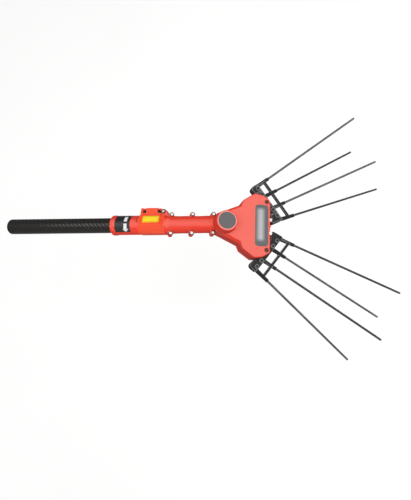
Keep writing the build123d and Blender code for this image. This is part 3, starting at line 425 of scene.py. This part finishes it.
finishOfNode = {
    "pole_tube": carbonTwill, "pole_collar": redNylon, "clamp_block": orangeNylon, "clamp_screws": blackSteel,
    "clamp_nuts": zincSteel, "upper_shell": redNylon, "lower_shell": redNylon, "shell_screws": zincWithShadedRim,
    "badge_disc": badgePlate, "name_plate": namePlate, "pivot_bolts": brownSteel, "pivot_nuts": zincSteel,
    "pivot_sleeves": sinteredBronze, "motor_can": motorSteel, "motor_plate": castAlloy,
    "motor_bearings": bearingSteel, "stator_core": motorSteel, "stator_coils": copperWire,
    "lead_grommet": softRubber, "upper_crank_bearing": bearingSteel, "lower_crank_bearing": bearingSteel,
    "rotor_core": motorSteel, "motor_shaft": bearingSteel, "drive_pinion": gearSteel, "crankshaft": gearSteel,
    "crank_gear": gearSteel, "crank_spacer": sinteredBronze, "upper_con_rod": castAlloy,
    "lower_con_rod": castAlloy,
}
for comb in combs:
    finishOfNode[comb + "_comb_frame"] = blackNylon
    finishOfNode[comb + "_comb_cover"] = blackNylon
    finishOfNode[comb + "_comb_screws"] = blackSteel
    finishOfNode[comb + "_comb_nuts"] = blackSteel
    finishOfNode[comb + "_tail_pin"] = bearingSteel
    for number in (1, 2, 3, 4):
        finishOfNode[f"{comb}_rod_{number}"] = lightRod if number % 2 else darkRod
for name, node in nodes.items():
    node.data.materials.clear()
    node.data.materials.append(finishOfNode[name])
print("finishes given to", len(finishOfNode), "nodes")

# camera at the photograph's place, for a picture of 411 by 500
cameraFit = {"imageSize": (411, 500), "focalPixels": 344.8, "middlePixel": (282.2, 225.9),
             "place": (0.6026, -0.1761, 0.7049), "right": (0.99949, -0.00459, -0.03165),
             "up": (0.01191, 0.97182, 0.23541), "back": (0.02968, -0.23567, 0.97138), "sensorMm": 36.0,
             "clip": (0.01, 50)}


def placeCamera(fit):
    data = bpy.data.cameras.new("photoCamera")
    camera = bpy.data.objects.new("photoCamera", data)
    scene.collection.objects.link(camera)
    width, height = fit["imageSize"]
    middleX, middleY = fit["middlePixel"]
    data.sensor_width = fit["sensorMm"]
    data.lens = fit["focalPixels"] * fit["sensorMm"] / height
    data.shift_x = (width / 2 - middleX) / height
    data.shift_y = (middleY - height / 2) / height
    data.clip_start, data.clip_end = fit["clip"]
    axes = Matrix((fit["right"], fit["up"], fit["back"])).transposed().to_4x4()
    camera.matrix_world = Matrix.Translation(fit["place"]) @ axes
    scene.camera = camera


placeCamera(cameraFit)

# pale floor well under the rods, glowing a little like a light table and kept out of reflections, so that
# walls stay red; a long softbox overhead, a smaller one that the head's top mirrors, a strip in front of the
# combs, a narrow fill on the neck, and a dim room that is lighter on the -Y side
stageSet = {"floorHeight": -0.42, "floorHalf": 6.0, "floorColour": "#989897", "floorCloudColour": "#949493",
            "floorCloudMm": 400, "floorRoughness": 0.9, "floorGlow": 0.74, "roomFront": 0.46,
            "roomBack": 0.22, "backdropStrength": 0.95,
            "softboxes": [{"name": "longSoftbox", "place": (0.55, 0.0, 1.6), "aim": (0.55, 0.0, 0.0),
                           "size": (3.2, 1.3), "power": 25.5, "spreadDeg": 180.0},
                          {"name": "headSoftbox", "place": (1.65, 0.45, 1.6), "aim": (0.5, 0.0, 0.0),
                           "size": (1.0, 1.0), "power": 9.0, "spreadDeg": 180.0},
                          {"name": "frontStrip", "place": (2.2, 0.2, 0.3), "aim": (0.55, 0.0, -0.02),
                           "size": (1.6, 0.7), "power": 6.0, "spreadDeg": 180.0},
                          {"name": "neckFill", "place": (0.2, -1.1, 0.8), "aim": (0.27, 0.0, 0.0),
                           "size": (0.3, 0.3), "power": 0.06, "spreadDeg": 12.0}]}
white = (1, 1, 1, 1)


def buildFloor(look):
    material, tree = newMaterial("paleFloorPaint")
    cloud = mottle(tree, look["floorCloudMm"], detail=2)
    cloud = addNode(tree, "ShaderNodeMapRange", None, softMottle, {"Value": cloud}).outputs["Result"]
    colours = {6: linear(look["floorColour"]), 7: linear(look["floorCloudColour"])}
    colour = addNode(tree, "ShaderNodeMix", colourMix, colours, {"Factor": cloud}).outputs[2]
    finishMaterial(tree, {"Roughness": look["floorRoughness"], "Emission Color": white,
                          "Emission Strength": look["floorGlow"]}, {"Base Color": colour})
    half, z = look["floorHalf"], look["floorHeight"]
    corners = [(-half, -half, z), (half, -half, z), (half, half, z), (-half, half, z)]
    floor = meshObject("floor", corners, [(0, 1, 2, 3)], material)
    floor.visible_diffuse = False
    floor.visible_glossy = False


def buildRoom(look):
    world = bpy.data.worlds.new("softSky")
    world.use_nodes = True
    tree = world.node_tree
    tree.nodes.clear()
    toward = addNode(tree, "ShaderNodeTexCoord").outputs["Generated"]
    axes = addNode(tree, "ShaderNodeSeparateXYZ", None, None, {0: toward}).outputs
    frontToBack = {"From Min": -1, "From Max": 1, "To Min": look["roomFront"], "To Max": look["roomBack"]}
    strength = addNode(tree, "ShaderNodeMapRange", None, frontToBack, {"Value": axes["Y"]}).outputs["Result"]
    room = addNode(tree, "ShaderNodeBackground", None, {"Color": white}, {"Strength": strength}).outputs[0]
    backdrop = addNode(tree, "ShaderNodeBackground", None,
                       {"Color": white, "Strength": look["backdropStrength"]}).outputs[0]
    seen = addNode(tree, "ShaderNodeLightPath").outputs["Is Camera Ray"]
    mixed = addNode(tree, "ShaderNodeMixShader", None, None, {0: seen, 1: room, 2: backdrop}).outputs[0]
    addNode(tree, "ShaderNodeOutputWorld", None, None, {"Surface": mixed})
    scene.world = world


def hangSoftbox(box):
    data = bpy.data.lights.new(box["name"], "AREA")
    data.shape = "RECTANGLE"
    data.energy = box["power"]
    data.size, data.size_y = box["size"]
    data.spread = math.radians(box["spreadDeg"])
    light = bpy.data.objects.new(box["name"], data)
    light.location = box["place"]
    light.rotation_euler = (Vector(box["aim"]) - Vector(box["place"])).to_track_quat("-Z", "Y").to_euler()
    light.visible_camera = False
    scene.collection.objects.link(light)


buildFloor(stageSet)
buildRoom(stageSet)
for softbox in stageSet["softboxes"]:
    hangSoftbox(softbox)
scene.view_settings.view_transform = "Standard"
print("camera, floor and light placed")


# Geometry Nodes pieces
def newGeometryTree(name, inputs):
    tree = bpy.data.node_groups.new(name, "GeometryNodeTree")
    tree.interface.new_socket("Geometry", in_out="INPUT", socket_type="NodeSocketGeometry")
    for socketName, kind in inputs.items():
        tree.interface.new_socket(socketName, in_out="INPUT", socket_type=kind)
    tree.interface.new_socket("Geometry", in_out="OUTPUT", socket_type="NodeSocketGeometry")
    return tree, addNode(tree, "NodeGroupInput").outputs


def endGeometryTree(tree, geometry, material):
    realized = addNode(tree, "GeometryNodeRealizeInstances", None, None, {"Geometry": geometry}).outputs[0]
    painted = addNode(tree, "GeometryNodeSetMaterial", None, None,
                      {"Geometry": realized, "Material": material}).outputs[0]
    addNode(tree, "NodeGroupOutput", None, None, {0: painted})


def runTree(name, tree, mesh, values):
    # sets the named inputs, evaluates once and keeps the result as a plain mesh
    seed = bpy.data.objects.new(name + "Seed", mesh)
    scene.collection.objects.link(seed)
    modifier = seed.modifiers.new("nodes", "NODES")
    modifier.node_group = tree
    for item in tree.interface.items_tree:
        if item.in_out == "INPUT" and item.name in values:
            modifier[item.identifier] = values[item.name]
    graph = bpy.context.evaluated_depsgraph_get()
    made = bpy.data.meshes.new_from_object(seed.evaluated_get(graph))
    seed.modifiers.remove(modifier)
    bpy.data.objects.remove(seed)
    made.name = name
    smoothByAngle(made)
    piece = bpy.data.objects.new(name, made)
    scene.collection.objects.link(piece)
    return piece


# rods: a round bar along each line, drawn in to a rounded tip
rodShape = {"tipMm": 2.0, "sides": 16, "stations": 24, "tipStations": 5}


def makeRodTree():
    tree, inputs = newGeometryTree("rodSweep", {
        "Rod Radius": "NodeSocketFloat", "Tip Length": "NodeSocketFloat", "Sides": "NodeSocketInt",
        "Material": "NodeSocketMaterial"})
    curve = addNode(tree, "GeometryNodeMeshToCurve", None, None, {"Mesh": inputs["Geometry"]}).outputs[0]
    parameter = addNode(tree, "GeometryNodeSplineParameter").outputs
    total = addNode(tree, "GeometryNodeSplineLength").outputs["Length"]
    toTip = addNode(tree, "ShaderNodeMath", {"operation": "SUBTRACT"}, None,
                    {0: total, 1: parameter["Length"]}).outputs[0]
    into = addNode(tree, "ShaderNodeMath", {"operation": "DIVIDE", "use_clamp": True}, None,
                   {0: toTip, 1: inputs["Tip Length"]}).outputs[0]
    # quarter ellipse: radius times the root of 1 less the square of what is left to the tip
    left = addNode(tree, "ShaderNodeMath", {"operation": "SUBTRACT"}, {0: 1.0}, {1: into}).outputs[0]
    square = addNode(tree, "ShaderNodeMath", {"operation": "MULTIPLY"}, None, {0: left, 1: left}).outputs[0]
    share = addNode(tree, "ShaderNodeMath", {"operation": "SUBTRACT"}, {0: 1.0}, {1: square}).outputs[0]
    share = addNode(tree, "ShaderNodeMath", {"operation": "SQRT"}, None, {0: share}).outputs[0]
    radius = addNode(tree, "ShaderNodeMath", {"operation": "MULTIPLY"}, None,
                     {0: share, 1: inputs["Rod Radius"]}).outputs[0]
    curve = addNode(tree, "GeometryNodeStoreNamedAttribute", {"data_type": "FLOAT", "domain": "POINT"},
                    {"Name": "alongRod"}, {"Geometry": curve, "Value": parameter["Length"]}).outputs[0]
    ring = addNode(tree, "GeometryNodeCurvePrimitiveCircle", None, {"Radius": 1.0},
                   {"Resolution": inputs["Sides"]}).outputs[0]
    ring = addNode(tree, "GeometryNodeStoreNamedAttribute", {"data_type": "FLOAT", "domain": "POINT"},
                   {"Name": "roundRod"}, {"Geometry": ring, "Value": parameter["Factor"]}).outputs[0]
    swept = addNode(tree, "GeometryNodeCurveToMesh", None, {"Fill Caps": True},
                    {"Curve": curve, "Profile Curve": ring, "Scale": radius}).outputs[0]
    endGeometryTree(tree, swept, inputs["Material"])
    return tree


def rodLines(nodeNames, coverNode, shape):
    # one polyline for each rod, from its inner end to its tip, with closer stations in the rounded tip
    low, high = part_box(coverNode)
    cover = np.array((low + high) / 2)
    vertices, edges = [], []
    tip = shape["tipMm"] * millimetre
    for name in nodeNames:
        points = islands(name)[0]
        start, end = sorted(longEnds(points), key=lambda rodEnd: np.linalg.norm(rodEnd - cover))
        length = np.linalg.norm(end - start)
        unit = unitVector(end - start)
        stops = [(length - tip) * i / shape["stations"] for i in range(shape["stations"] + 1)]
        stops += [length - tip * (1 - math.sin(math.pi / 2 * i / shape["tipStations"]))
                  for i in range(1, shape["tipStations"] + 1)]
        first = len(vertices)
        vertices += [tuple(start + unit * stop) for stop in stops]
        edges += [(first + i, first + i + 1) for i in range(len(stops) - 1)]
        radius = np.linalg.norm(np.cross(points - start, unit), axis=1).max()
    mesh = bpy.data.meshes.new("rodLines")
    mesh.from_pydata(vertices, edges, [])
    return mesh, float(radius)


rodTree = makeRodTree()
for comb in combs:
    for kind, numbers, material in (("Light", (1, 3), lightRod), ("Dark", (2, 4), darkRod)):
        rodNodes = [f"{comb}_rod_{number}" for number in numbers]
        lines, rodRadius = rodLines(rodNodes, comb + "_comb_cover", rodShape)
        rods = runTree(f"{comb}{kind}Rods", rodTree, lines, {
            "Rod Radius": rodRadius, "Tip Length": rodShape["tipMm"] * millimetre,
            "Sides": rodShape["sides"], "Material": material})
        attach(rods, comb + "_comb")
        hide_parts(*rodNodes)
print("rods swept")


# rings on screws and bosses: a flat ring with rounded edges, set on each point and turned to its axis
def makeRingTree():
    tree, inputs = newGeometryTree("ringSet", {
        "Inner Radius": "NodeSocketFloat", "Outer Radius": "NodeSocketFloat", "Thickness": "NodeSocketFloat",
        "Rounding": "NodeSocketFloat", "Sides": "NodeSocketInt", "Material": "NodeSocketMaterial"})
    total = addNode(tree, "ShaderNodeMath", {"operation": "ADD"}, None,
                    {0: inputs["Inner Radius"], 1: inputs["Outer Radius"]}).outputs[0]
    middle = addNode(tree, "ShaderNodeMath", {"operation": "MULTIPLY"}, {1: 0.5}, {0: total}).outputs[0]
    width = addNode(tree, "ShaderNodeMath", {"operation": "SUBTRACT"}, None,
                    {0: inputs["Outer Radius"], 1: inputs["Inner Radius"]}).outputs[0]
    path = addNode(tree, "GeometryNodeCurvePrimitiveCircle", None, None,
                   {"Resolution": inputs["Sides"], "Radius": middle}).outputs[0]
    section = addNode(tree, "GeometryNodeCurvePrimitiveQuadrilateral", None, None,
                      {"Width": width, "Height": inputs["Thickness"]}).outputs[0]
    section = addNode(tree, "GeometryNodeFilletCurve", {"mode": "POLY"}, {"Count": 2},
                      {"Curve": section, "Radius": inputs["Rounding"]}).outputs[0]
    ring = addNode(tree, "GeometryNodeCurveToMesh", None, None,
                   {"Curve": path, "Profile Curve": section}).outputs[0]
    axis = addNode(tree, "GeometryNodeInputNamedAttribute", {"data_type": "FLOAT_VECTOR"},
                   {"Name": "axis"}).outputs["Attribute"]
    turn = addNode(tree, "FunctionNodeAlignRotationToVector", {"axis": "Z"}, None,
                   {"Vector": axis}).outputs[0]
    rings = addNode(tree, "GeometryNodeInstanceOnPoints", None, None,
                    {"Points": inputs["Geometry"], "Instance": ring, "Rotation": turn}).outputs[0]
    endGeometryTree(tree, rings, inputs["Material"])
    return tree


ringTree = makeRingTree()


def ringSet(name, places, look, material):
    # places are (point, axis) pairs and look has the ring's sizes
    mesh = bpy.data.meshes.new(name + "Points")
    mesh.from_pydata([tuple(point) for point, axis in places], [], [])
    axes = mesh.attributes.new("axis", "FLOAT_VECTOR", "POINT")
    axes.data.foreach_set("vector", np.array([axis for point, axis in places]).ravel())
    return runTree(name, ringTree, mesh, {
        "Inner Radius": look["innerMm"] * millimetre, "Outer Radius": look["outerMm"] * millimetre,
        "Thickness": look["thickMm"] * millimetre, "Rounding": look["roundMm"] * millimetre,
        "Sides": look["sides"], "Material": material})


def screwEnds(node):
    # lower end, upper end and upward axis of each screw in a node
    ends = []
    for points in islands(node):
        low, high = sorted(longEnds(points), key=lambda end: end[2])
        ends.append((low, high, unitVector(high - low)))
    return ends


# dark red cups over the rims of the button heads on the neck's ears, not on the two front ones: a painted
# shade that stands for the shadow in the ears' counterbores round the heads
shadeCupLook = {"innerMm": 2.7, "outerMm": 4.45, "thickMm": 2.9, "roundMm": 0.35, "sides": 40,
              "headHeightMm": 2.6, "frontEars": 2}
shadeCupRed = moulded({"name": "darkRedPaintedShade", "colour": "#5E221C", "cloudColour": "#4F1C17",
                     "wornColour": "#6E2C25", "cloudMm": 6, "edgeMm": 0.3, "patchMm": 3,
                     "roughness": (0.7, 0.8), "ior": 1.52, "specular": 0.3})
earScrews = sorted(screwEnds("shell_screws"), key=lambda ends: ends[0][0])
neckScrews = earScrews[:-shadeCupLook["frontEars"]]
raised = (shadeCupLook["thickMm"] / 2 - shadeCupLook["headHeightMm"]) * millimetre
shadeCups = ringSet("earShadeCups", [(high + axis * raised, axis) for low, high, axis in neckScrews], shadeCupLook,
                  shadeCupRed)
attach(shadeCups, "housing")

# rim round the badge, rubbed pale
bezelLook = {"insideMm": 0.15, "outsideMm": 1.0, "thickMm": 0.5, "roundMm": 0.15, "proudMm": 0.25,
             "sides": 96}
paleNylon = moulded({"name": "rubbedRedNylon", "colour": "#EFA398", "cloudColour": "#E99288",
                     "wornColour": "#F6BDB4", "cloudMm": 8, "grainMm": 1.2, "edgeMm": 0.3, "patchMm": 4,
                     "leastWorn": 0.3, "roughness": (0.45, 0.58), "specular": 0.5})
badgeRadius = np.linalg.norm(np.cross(badgePoints - badgeMiddle, badgeAxis), axis=1).max() / millimetre
badgeTop = ((badgePoints - badgeMiddle) @ badgeAxis).max()
bezelLook["innerMm"] = badgeRadius - bezelLook["insideMm"]
bezelLook["outerMm"] = badgeRadius + bezelLook["outsideMm"]
bezelPoint = badgeMiddle + badgeAxis * (badgeTop + bezelLook["proudMm"] * millimetre)
bezel = ringSet("badgeBezel", [(bezelPoint, badgeAxis)], bezelLook, paleNylon)
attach(bezel, "housing")

# dark rubber cord along the parting line of the two shells, from the clamp to the comb slots: a painted shade
# that stands for the shadow in the parting gap
shadeCordLook = {"radiusMm": 0.35, "sides": 8, "clampGapMm": 0.2, "endX": 0.512, "screwClearMm": 3.0,
            "planeMm": 0.1, "downward": 0.999, "outward": 0.05}
clampLow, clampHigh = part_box("clamp_block")


def makeShadeCordTree():
    tree, inputs = newGeometryTree("shadeCordSweep", {
        "Cord Radius": "NodeSocketFloat", "Sides": "NodeSocketInt", "Material": "NodeSocketMaterial"})
    curve = addNode(tree, "GeometryNodeMeshToCurve", None, None, {"Mesh": inputs["Geometry"]}).outputs[0]
    ring = addNode(tree, "GeometryNodeCurvePrimitiveCircle", None, None,
                   {"Resolution": inputs["Sides"], "Radius": inputs["Cord Radius"]}).outputs[0]
    swept = addNode(tree, "GeometryNodeCurveToMesh", None, {"Fill Caps": True},
                    {"Curve": curve, "Profile Curve": ring}).outputs[0]
    endGeometryTree(tree, swept, inputs["Material"])
    return tree


def partingLines(look):
    # outer edges of the faces where the two shells meet: level on the neck, slanting on the head
    work = bmesh.new()
    work.from_mesh(nodes["upper_shell"].data)
    bmesh.ops.remove_doubles(work, verts=work.verts, dist=mergeDistance)
    plane = look["planeMm"] * millimetre

    def isParting(face):
        offset = face.calc_center_median() - crankPlace
        return any(face.normal.dot(up) < -look["downward"] and abs(offset.dot(up)) < plane
                   for up in (Vector((0, 0, 1)), headUp))

    parting = {face for face in work.faces if isParting(face)}
    screws = [(Vector(low), Vector(axis)) for low, high, axis in earScrews]
    screwClear = look["screwClearMm"] * millimetre
    startX = clampHigh.x + look["clampGapMm"] * millimetre
    numbers, vertices, edges = {}, [], []
    for edge in work.edges:
        others = [face for face in edge.link_faces if face not in parting]
        if len(edge.link_faces) != 2 or len(others) != 1:
            continue
        middle = (edge.verts[0].co + edge.verts[1].co) / 2
        outward = others[0].normal.y * math.copysign(1, middle.y) > look["outward"]
        clear = all((middle - low).cross(axis).length > screwClear for low, axis in screws)
        if outward and clear and startX < middle.x < look["endX"]:
            for vertex in edge.verts:
                if vertex.index not in numbers:
                    numbers[vertex.index] = len(vertices)
                    vertices.append(tuple(vertex.co))
            edges.append(tuple(numbers[vertex.index] for vertex in edge.verts))
    work.free()
    mesh = bpy.data.meshes.new("partingLines")
    mesh.from_pydata(vertices, edges, [])
    return mesh


shadeCord = runTree("partingShadeCord", makeShadeCordTree(), partingLines(shadeCordLook), {
    "Cord Radius": shadeCordLook["radiusMm"] * millimetre, "Sides": shadeCordLook["sides"], "Material": softRubber})
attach(shadeCord, "housing")
print("seal laid along the parting line")

# grey rims that line the screw bosses of the combs, on the side of the heads and on the side of the nuts: a
# painted highlight on the bosses' edges
rimLook = {"innerMm": 3.25, "outerMm": 4.4, "thickMm": 0.3, "roundMm": 0.09, "sides": 36, "headSunkMm": 0.2,
           "nutSunkMm": 0.4, "endMm": 0.1}


def rimPlaces(node, look):
    places = []
    for points in islands(node):
        ends = longEnds(points)
        axis = unitVector(ends[1] - ends[0])
        widths = []
        for end in ends:
            atEnd = points[np.abs((points - end) @ axis) < look["endMm"] * millimetre]
            widths.append(np.linalg.norm(np.cross(atEnd - end, axis), axis=1).max())
        head, tail = ends if widths[0] > widths[1] else ends[::-1]  # the head is the wider end
        outward = unitVector(head - tail)
        headRise = (look["headSunkMm"] + look["thickMm"] / 2) * millimetre
        nutRise = (look["nutSunkMm"] + look["thickMm"] / 2) * millimetre
        places.append((head + outward * headRise, outward))
        places.append((tail - outward * nutRise, -outward))
    return places


for comb in combs:
    rims = ringSet(comb + "CombRims", rimPlaces(comb + "_comb_screws", rimLook), rimLook, rimHighlightGrey)
    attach(rims, comb + "_comb")
print("rings set:", len(neckScrews), "cups, the badge's rim and the rims of both combs")

# calendered vinyl film: smooth with a soft shine, slightly rippled by the glue under it
vinylLook = {"cloudMm": 12, "rippleMm": 6, "rippleDepthMm": 0.02, "ior": 1.52, "roughness": 0.4}


def vinyl(name, colour, cloudColour, look=vinylLook):
    material, tree = newMaterial(name)
    cloud = mottle(tree, look["cloudMm"], detail=3)
    cloud = addNode(tree, "ShaderNodeMapRange", None, crispMottle, {"Value": cloud}).outputs["Result"]
    colours = {6: linear(colour), 7: linear(cloudColour)}
    base = addNode(tree, "ShaderNodeMix", colourMix, colours, {"Factor": cloud}).outputs[2]
    bump = addNode(tree, "ShaderNodeBump", None, {"Distance": look["rippleDepthMm"] * millimetre},
                   {"Height": mottle(tree, look["rippleMm"], detail=1)}).outputs["Normal"]
    finishMaterial(tree, {"IOR": look["ior"], "Roughness": look["roughness"]},
                   {"Base Color": base, "Normal": bump})
    return material


def closedSheets(name, layers, rows, columns, material):
    # closed thin sheets: layers has (inner grid, outer grid) pairs of rows by columns of points
    vertices, faces = [], []
    layer = rows * columns
    border = list(range(columns - 1)) + [row * columns + columns - 1 for row in range(rows - 1)]
    border += [(rows - 1) * columns + k for k in range(columns - 1, 0, -1)]
    border += [row * columns for row in range(rows - 1, 0, -1)]
    for inner, outer in layers:
        first = len(vertices)
        vertices += list(inner) + list(outer)
        for row in range(rows - 1):
            for k in range(columns - 1):
                a = first + row * columns + k
                faces.append((a, a + columns, a + columns + 1, a + 1))
                faces.append((layer + a, layer + a + 1, layer + a + columns + 1, layer + a + columns))
        for a, b in zip(border, border[1:] + border[:1]):
            faces.append((first + a, first + b, first + layer + b, first + layer + a))
    piece = meshObject(name, vertices, faces, material)
    work = bmesh.new()
    work.from_mesh(piece.data)
    bmesh.ops.recalc_face_normals(work, faces=work.faces)
    work.to_mesh(piece.data)
    work.free()
    smoothByAngle(piece.data)
    return piece


def wrapPatches(name, outlines, radius, look, material):
    # thin patches bent round the X axis: each outline is rows of (x, angle low, angle high)
    columns = look["columns"]
    layers = []
    for outline in outlines:
        grids = []
        for depth in (radius, radius + look["thickMm"] * millimetre):
            grid = []
            for x, low, high in outline:
                for k in range(columns):
                    angle = math.radians(low + (high - low) * k / (columns - 1))
                    grid.append((x, -depth * math.sin(angle), depth * math.cos(angle)))
            grids.append(grid)
        layers.append(grids)
    return closedSheets(name, layers, len(outlines[0]), columns, material)


# black vinyl band over the upper side of the collar, from its low to its high angle towards -Y
bandLook = {"startMm": 10.5, "lengthMm": 32.0, "thickMm": 0.15, "fromDeg": -100.0, "toDeg": 56.0,
            "columns": 33, "collarRadiusMm": 20.5, "glueMm": 0.03, "colour": "#121213",
            "cloudColour": "#1A1A1B"}
collarLow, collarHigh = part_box("pole_collar")
bandStart = collarLow.x + bandLook["startMm"] * millimetre
bandEnd = bandStart + bandLook["lengthMm"] * millimetre
bandRadius = (bandLook["collarRadiusMm"] + bandLook["glueMm"]) * millimetre
bandOutline = [(x, bandLook["fromDeg"], bandLook["toDeg"]) for x in (bandStart, bandEnd)]
band = wrapPatches("collarBand", [bandOutline], bandRadius, bandLook,
                   vinyl("blackVinyl", bandLook["colour"], bandLook["cloudColour"]))
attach(band, "housing")

# plain dashed arrow on the band, with rows enough for the head's slanting sides to follow the round collar
arrowLook = {"middleMm": 22.5, "thickMm": 0.08, "dashWidthMm": 6.4, "headWidthMm": 12.2,
             "dashesDeg": [(-45.0, -10.0), (3.0, 35.0)], "headDeg": (35.0, 55.0), "barbDeg": 0.5, "rows": 21,
             "columns": 33, "colour": "#E4E4E6", "cloudColour": "#D6D6D8"}


def arrowOutlines(look):
    middle = bandStart + look["middleMm"] * millimetre
    across = [2 * row / (look["rows"] - 1) - 1 for row in range(look["rows"])]
    halfDash = look["dashWidthMm"] * millimetre / 2
    halfHead = look["headWidthMm"] * millimetre / 2
    outlines = [[(middle + halfDash * side, low, high) for side in across] for low, high in look["dashesDeg"]]
    low, tip = look["headDeg"]
    barb = low + look["barbDeg"]
    outlines.append([(middle + halfHead * side, low, barb + (tip - barb) * (1 - abs(side)))
                     for side in across])
    return outlines


arrowRadius = bandRadius + bandLook["thickMm"] * millimetre
arrow = wrapPatches("collarArrow", arrowOutlines(arrowLook), arrowRadius, arrowLook,
                    vinyl("whiteVinyl", arrowLook["colour"], arrowLook["cloudColour"]))
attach(arrow, "housing")
print("collar band and arrow wrapped")

# bare yellow sticker with a thin keyline on the clamp's upper facet
stickerLook = {"startMm": 8.9, "endMm": 43.4, "lowYMm": 1.0, "highYMm": 15.4, "cornerMm": 1.5,
               "leastCornerMm": 0.3, "cornerSteps": 8, "thickMm": 0.12, "glueMm": 0.02, "colour": "#F3D61F",
               "cloudColour": "#ECCD18", "keylineInMm": 1.3, "keylineMm": 0.5, "inkMm": 0.04,
               "keylineColour": "#4A3A10", "keylineCloudColour": "#3E300C", "facet": (0, 0.2315, 0.9728),
               "facetMatch": 0.995}


def facetPlane(node, facing, match):
    # mean normal and a mean point of the upper faces that look along a given direction
    normal, through, area = Vector(), Vector(), 0.0
    for face in nodes[node].data.polygons:
        if face.normal.dot(facing) > match and face.center.z > 0:
            normal += face.normal * face.area
            through += face.center * face.area
            area += face.area
    return normal.normalized(), through / area


def roundedRing(halfLong, halfWide, corner, steps):
    # outline of a rectangle with rounded corners, about its middle
    ring = []
    for turn, (sideX, sideY) in enumerate(((1, 1), (-1, 1), (-1, -1), (1, -1))):
        for k in range(steps + 1):
            angle = math.pi / 2 * (turn + k / steps)
            ring.append((sideX * (halfLong - corner) + corner * math.cos(angle),
                         sideY * (halfWide - corner) + corner * math.sin(angle)))
    return ring


def flatPlate(name, outer, inner, height, thick, place, material):
    # plate between two outlines of equal length, or a full plate where there is no inner outline
    count = len(outer)
    vertices = [place(x, y, z) for z in (height, height + thick) for x, y in outer]
    faces = []
    if inner:
        vertices += [place(x, y, z) for z in (height, height + thick) for x, y in inner]
    else:
        faces += [tuple(range(count, 2 * count)), tuple(range(count - 1, -1, -1))]
    for i in range(count):
        j = (i + 1) % count
        faces.append((i, j, count + j, count + i))
        if inner:
            faces.append((2 * count + j, 2 * count + i, 3 * count + i, 3 * count + j))
            faces.append((count + i, count + j, 3 * count + j, 3 * count + i))
            faces.append((j, i, 2 * count + i, 2 * count + j))
    return meshObject(name, vertices, faces, material)


def buildSticker(look):
    normal, through = facetPlane("clamp_block", Vector(look["facet"]), look["facetMatch"])
    slope = Vector((0, normal.z, -normal.y))
    middleX = clampLow.x + (look["startMm"] + look["endMm"]) / 2 * millimetre
    middleY = (look["lowYMm"] + look["highYMm"]) / 2 * millimetre
    middle = Vector((middleX, middleY, through.z - (middleY - through.y) * normal.y / normal.z))
    halfLong = (look["endMm"] - look["startMm"]) / 2
    halfWide = (look["highYMm"] - look["lowYMm"]) / 2 / normal.z

    def place(x, y, z):
        return middle + (Vector((x, 0, 0)) + slope * y + normal * z) * millimetre

    def ring(inset):
        corner = max(look["cornerMm"] - inset, look["leastCornerMm"])
        return roundedRing(halfLong - inset, halfWide - inset, corner, look["cornerSteps"])

    sheet = flatPlate("clampSticker", ring(0), None, look["glueMm"], look["thickMm"], place,
                      vinyl("yellowVinyl", look["colour"], look["cloudColour"]))
    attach(sheet, "housing")
    outer, inner = ring(look["keylineInMm"]), ring(look["keylineInMm"] + look["keylineMm"])
    line = flatPlate("stickerKeyline", outer, inner, look["glueMm"] + look["thickMm"], look["inkMm"], place,
                     vinyl("brownInk", look["keylineColour"], look["keylineCloudColour"]))
    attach(line, "housing")


buildSticker(stickerLook)
print("sticker laid on the clamp")
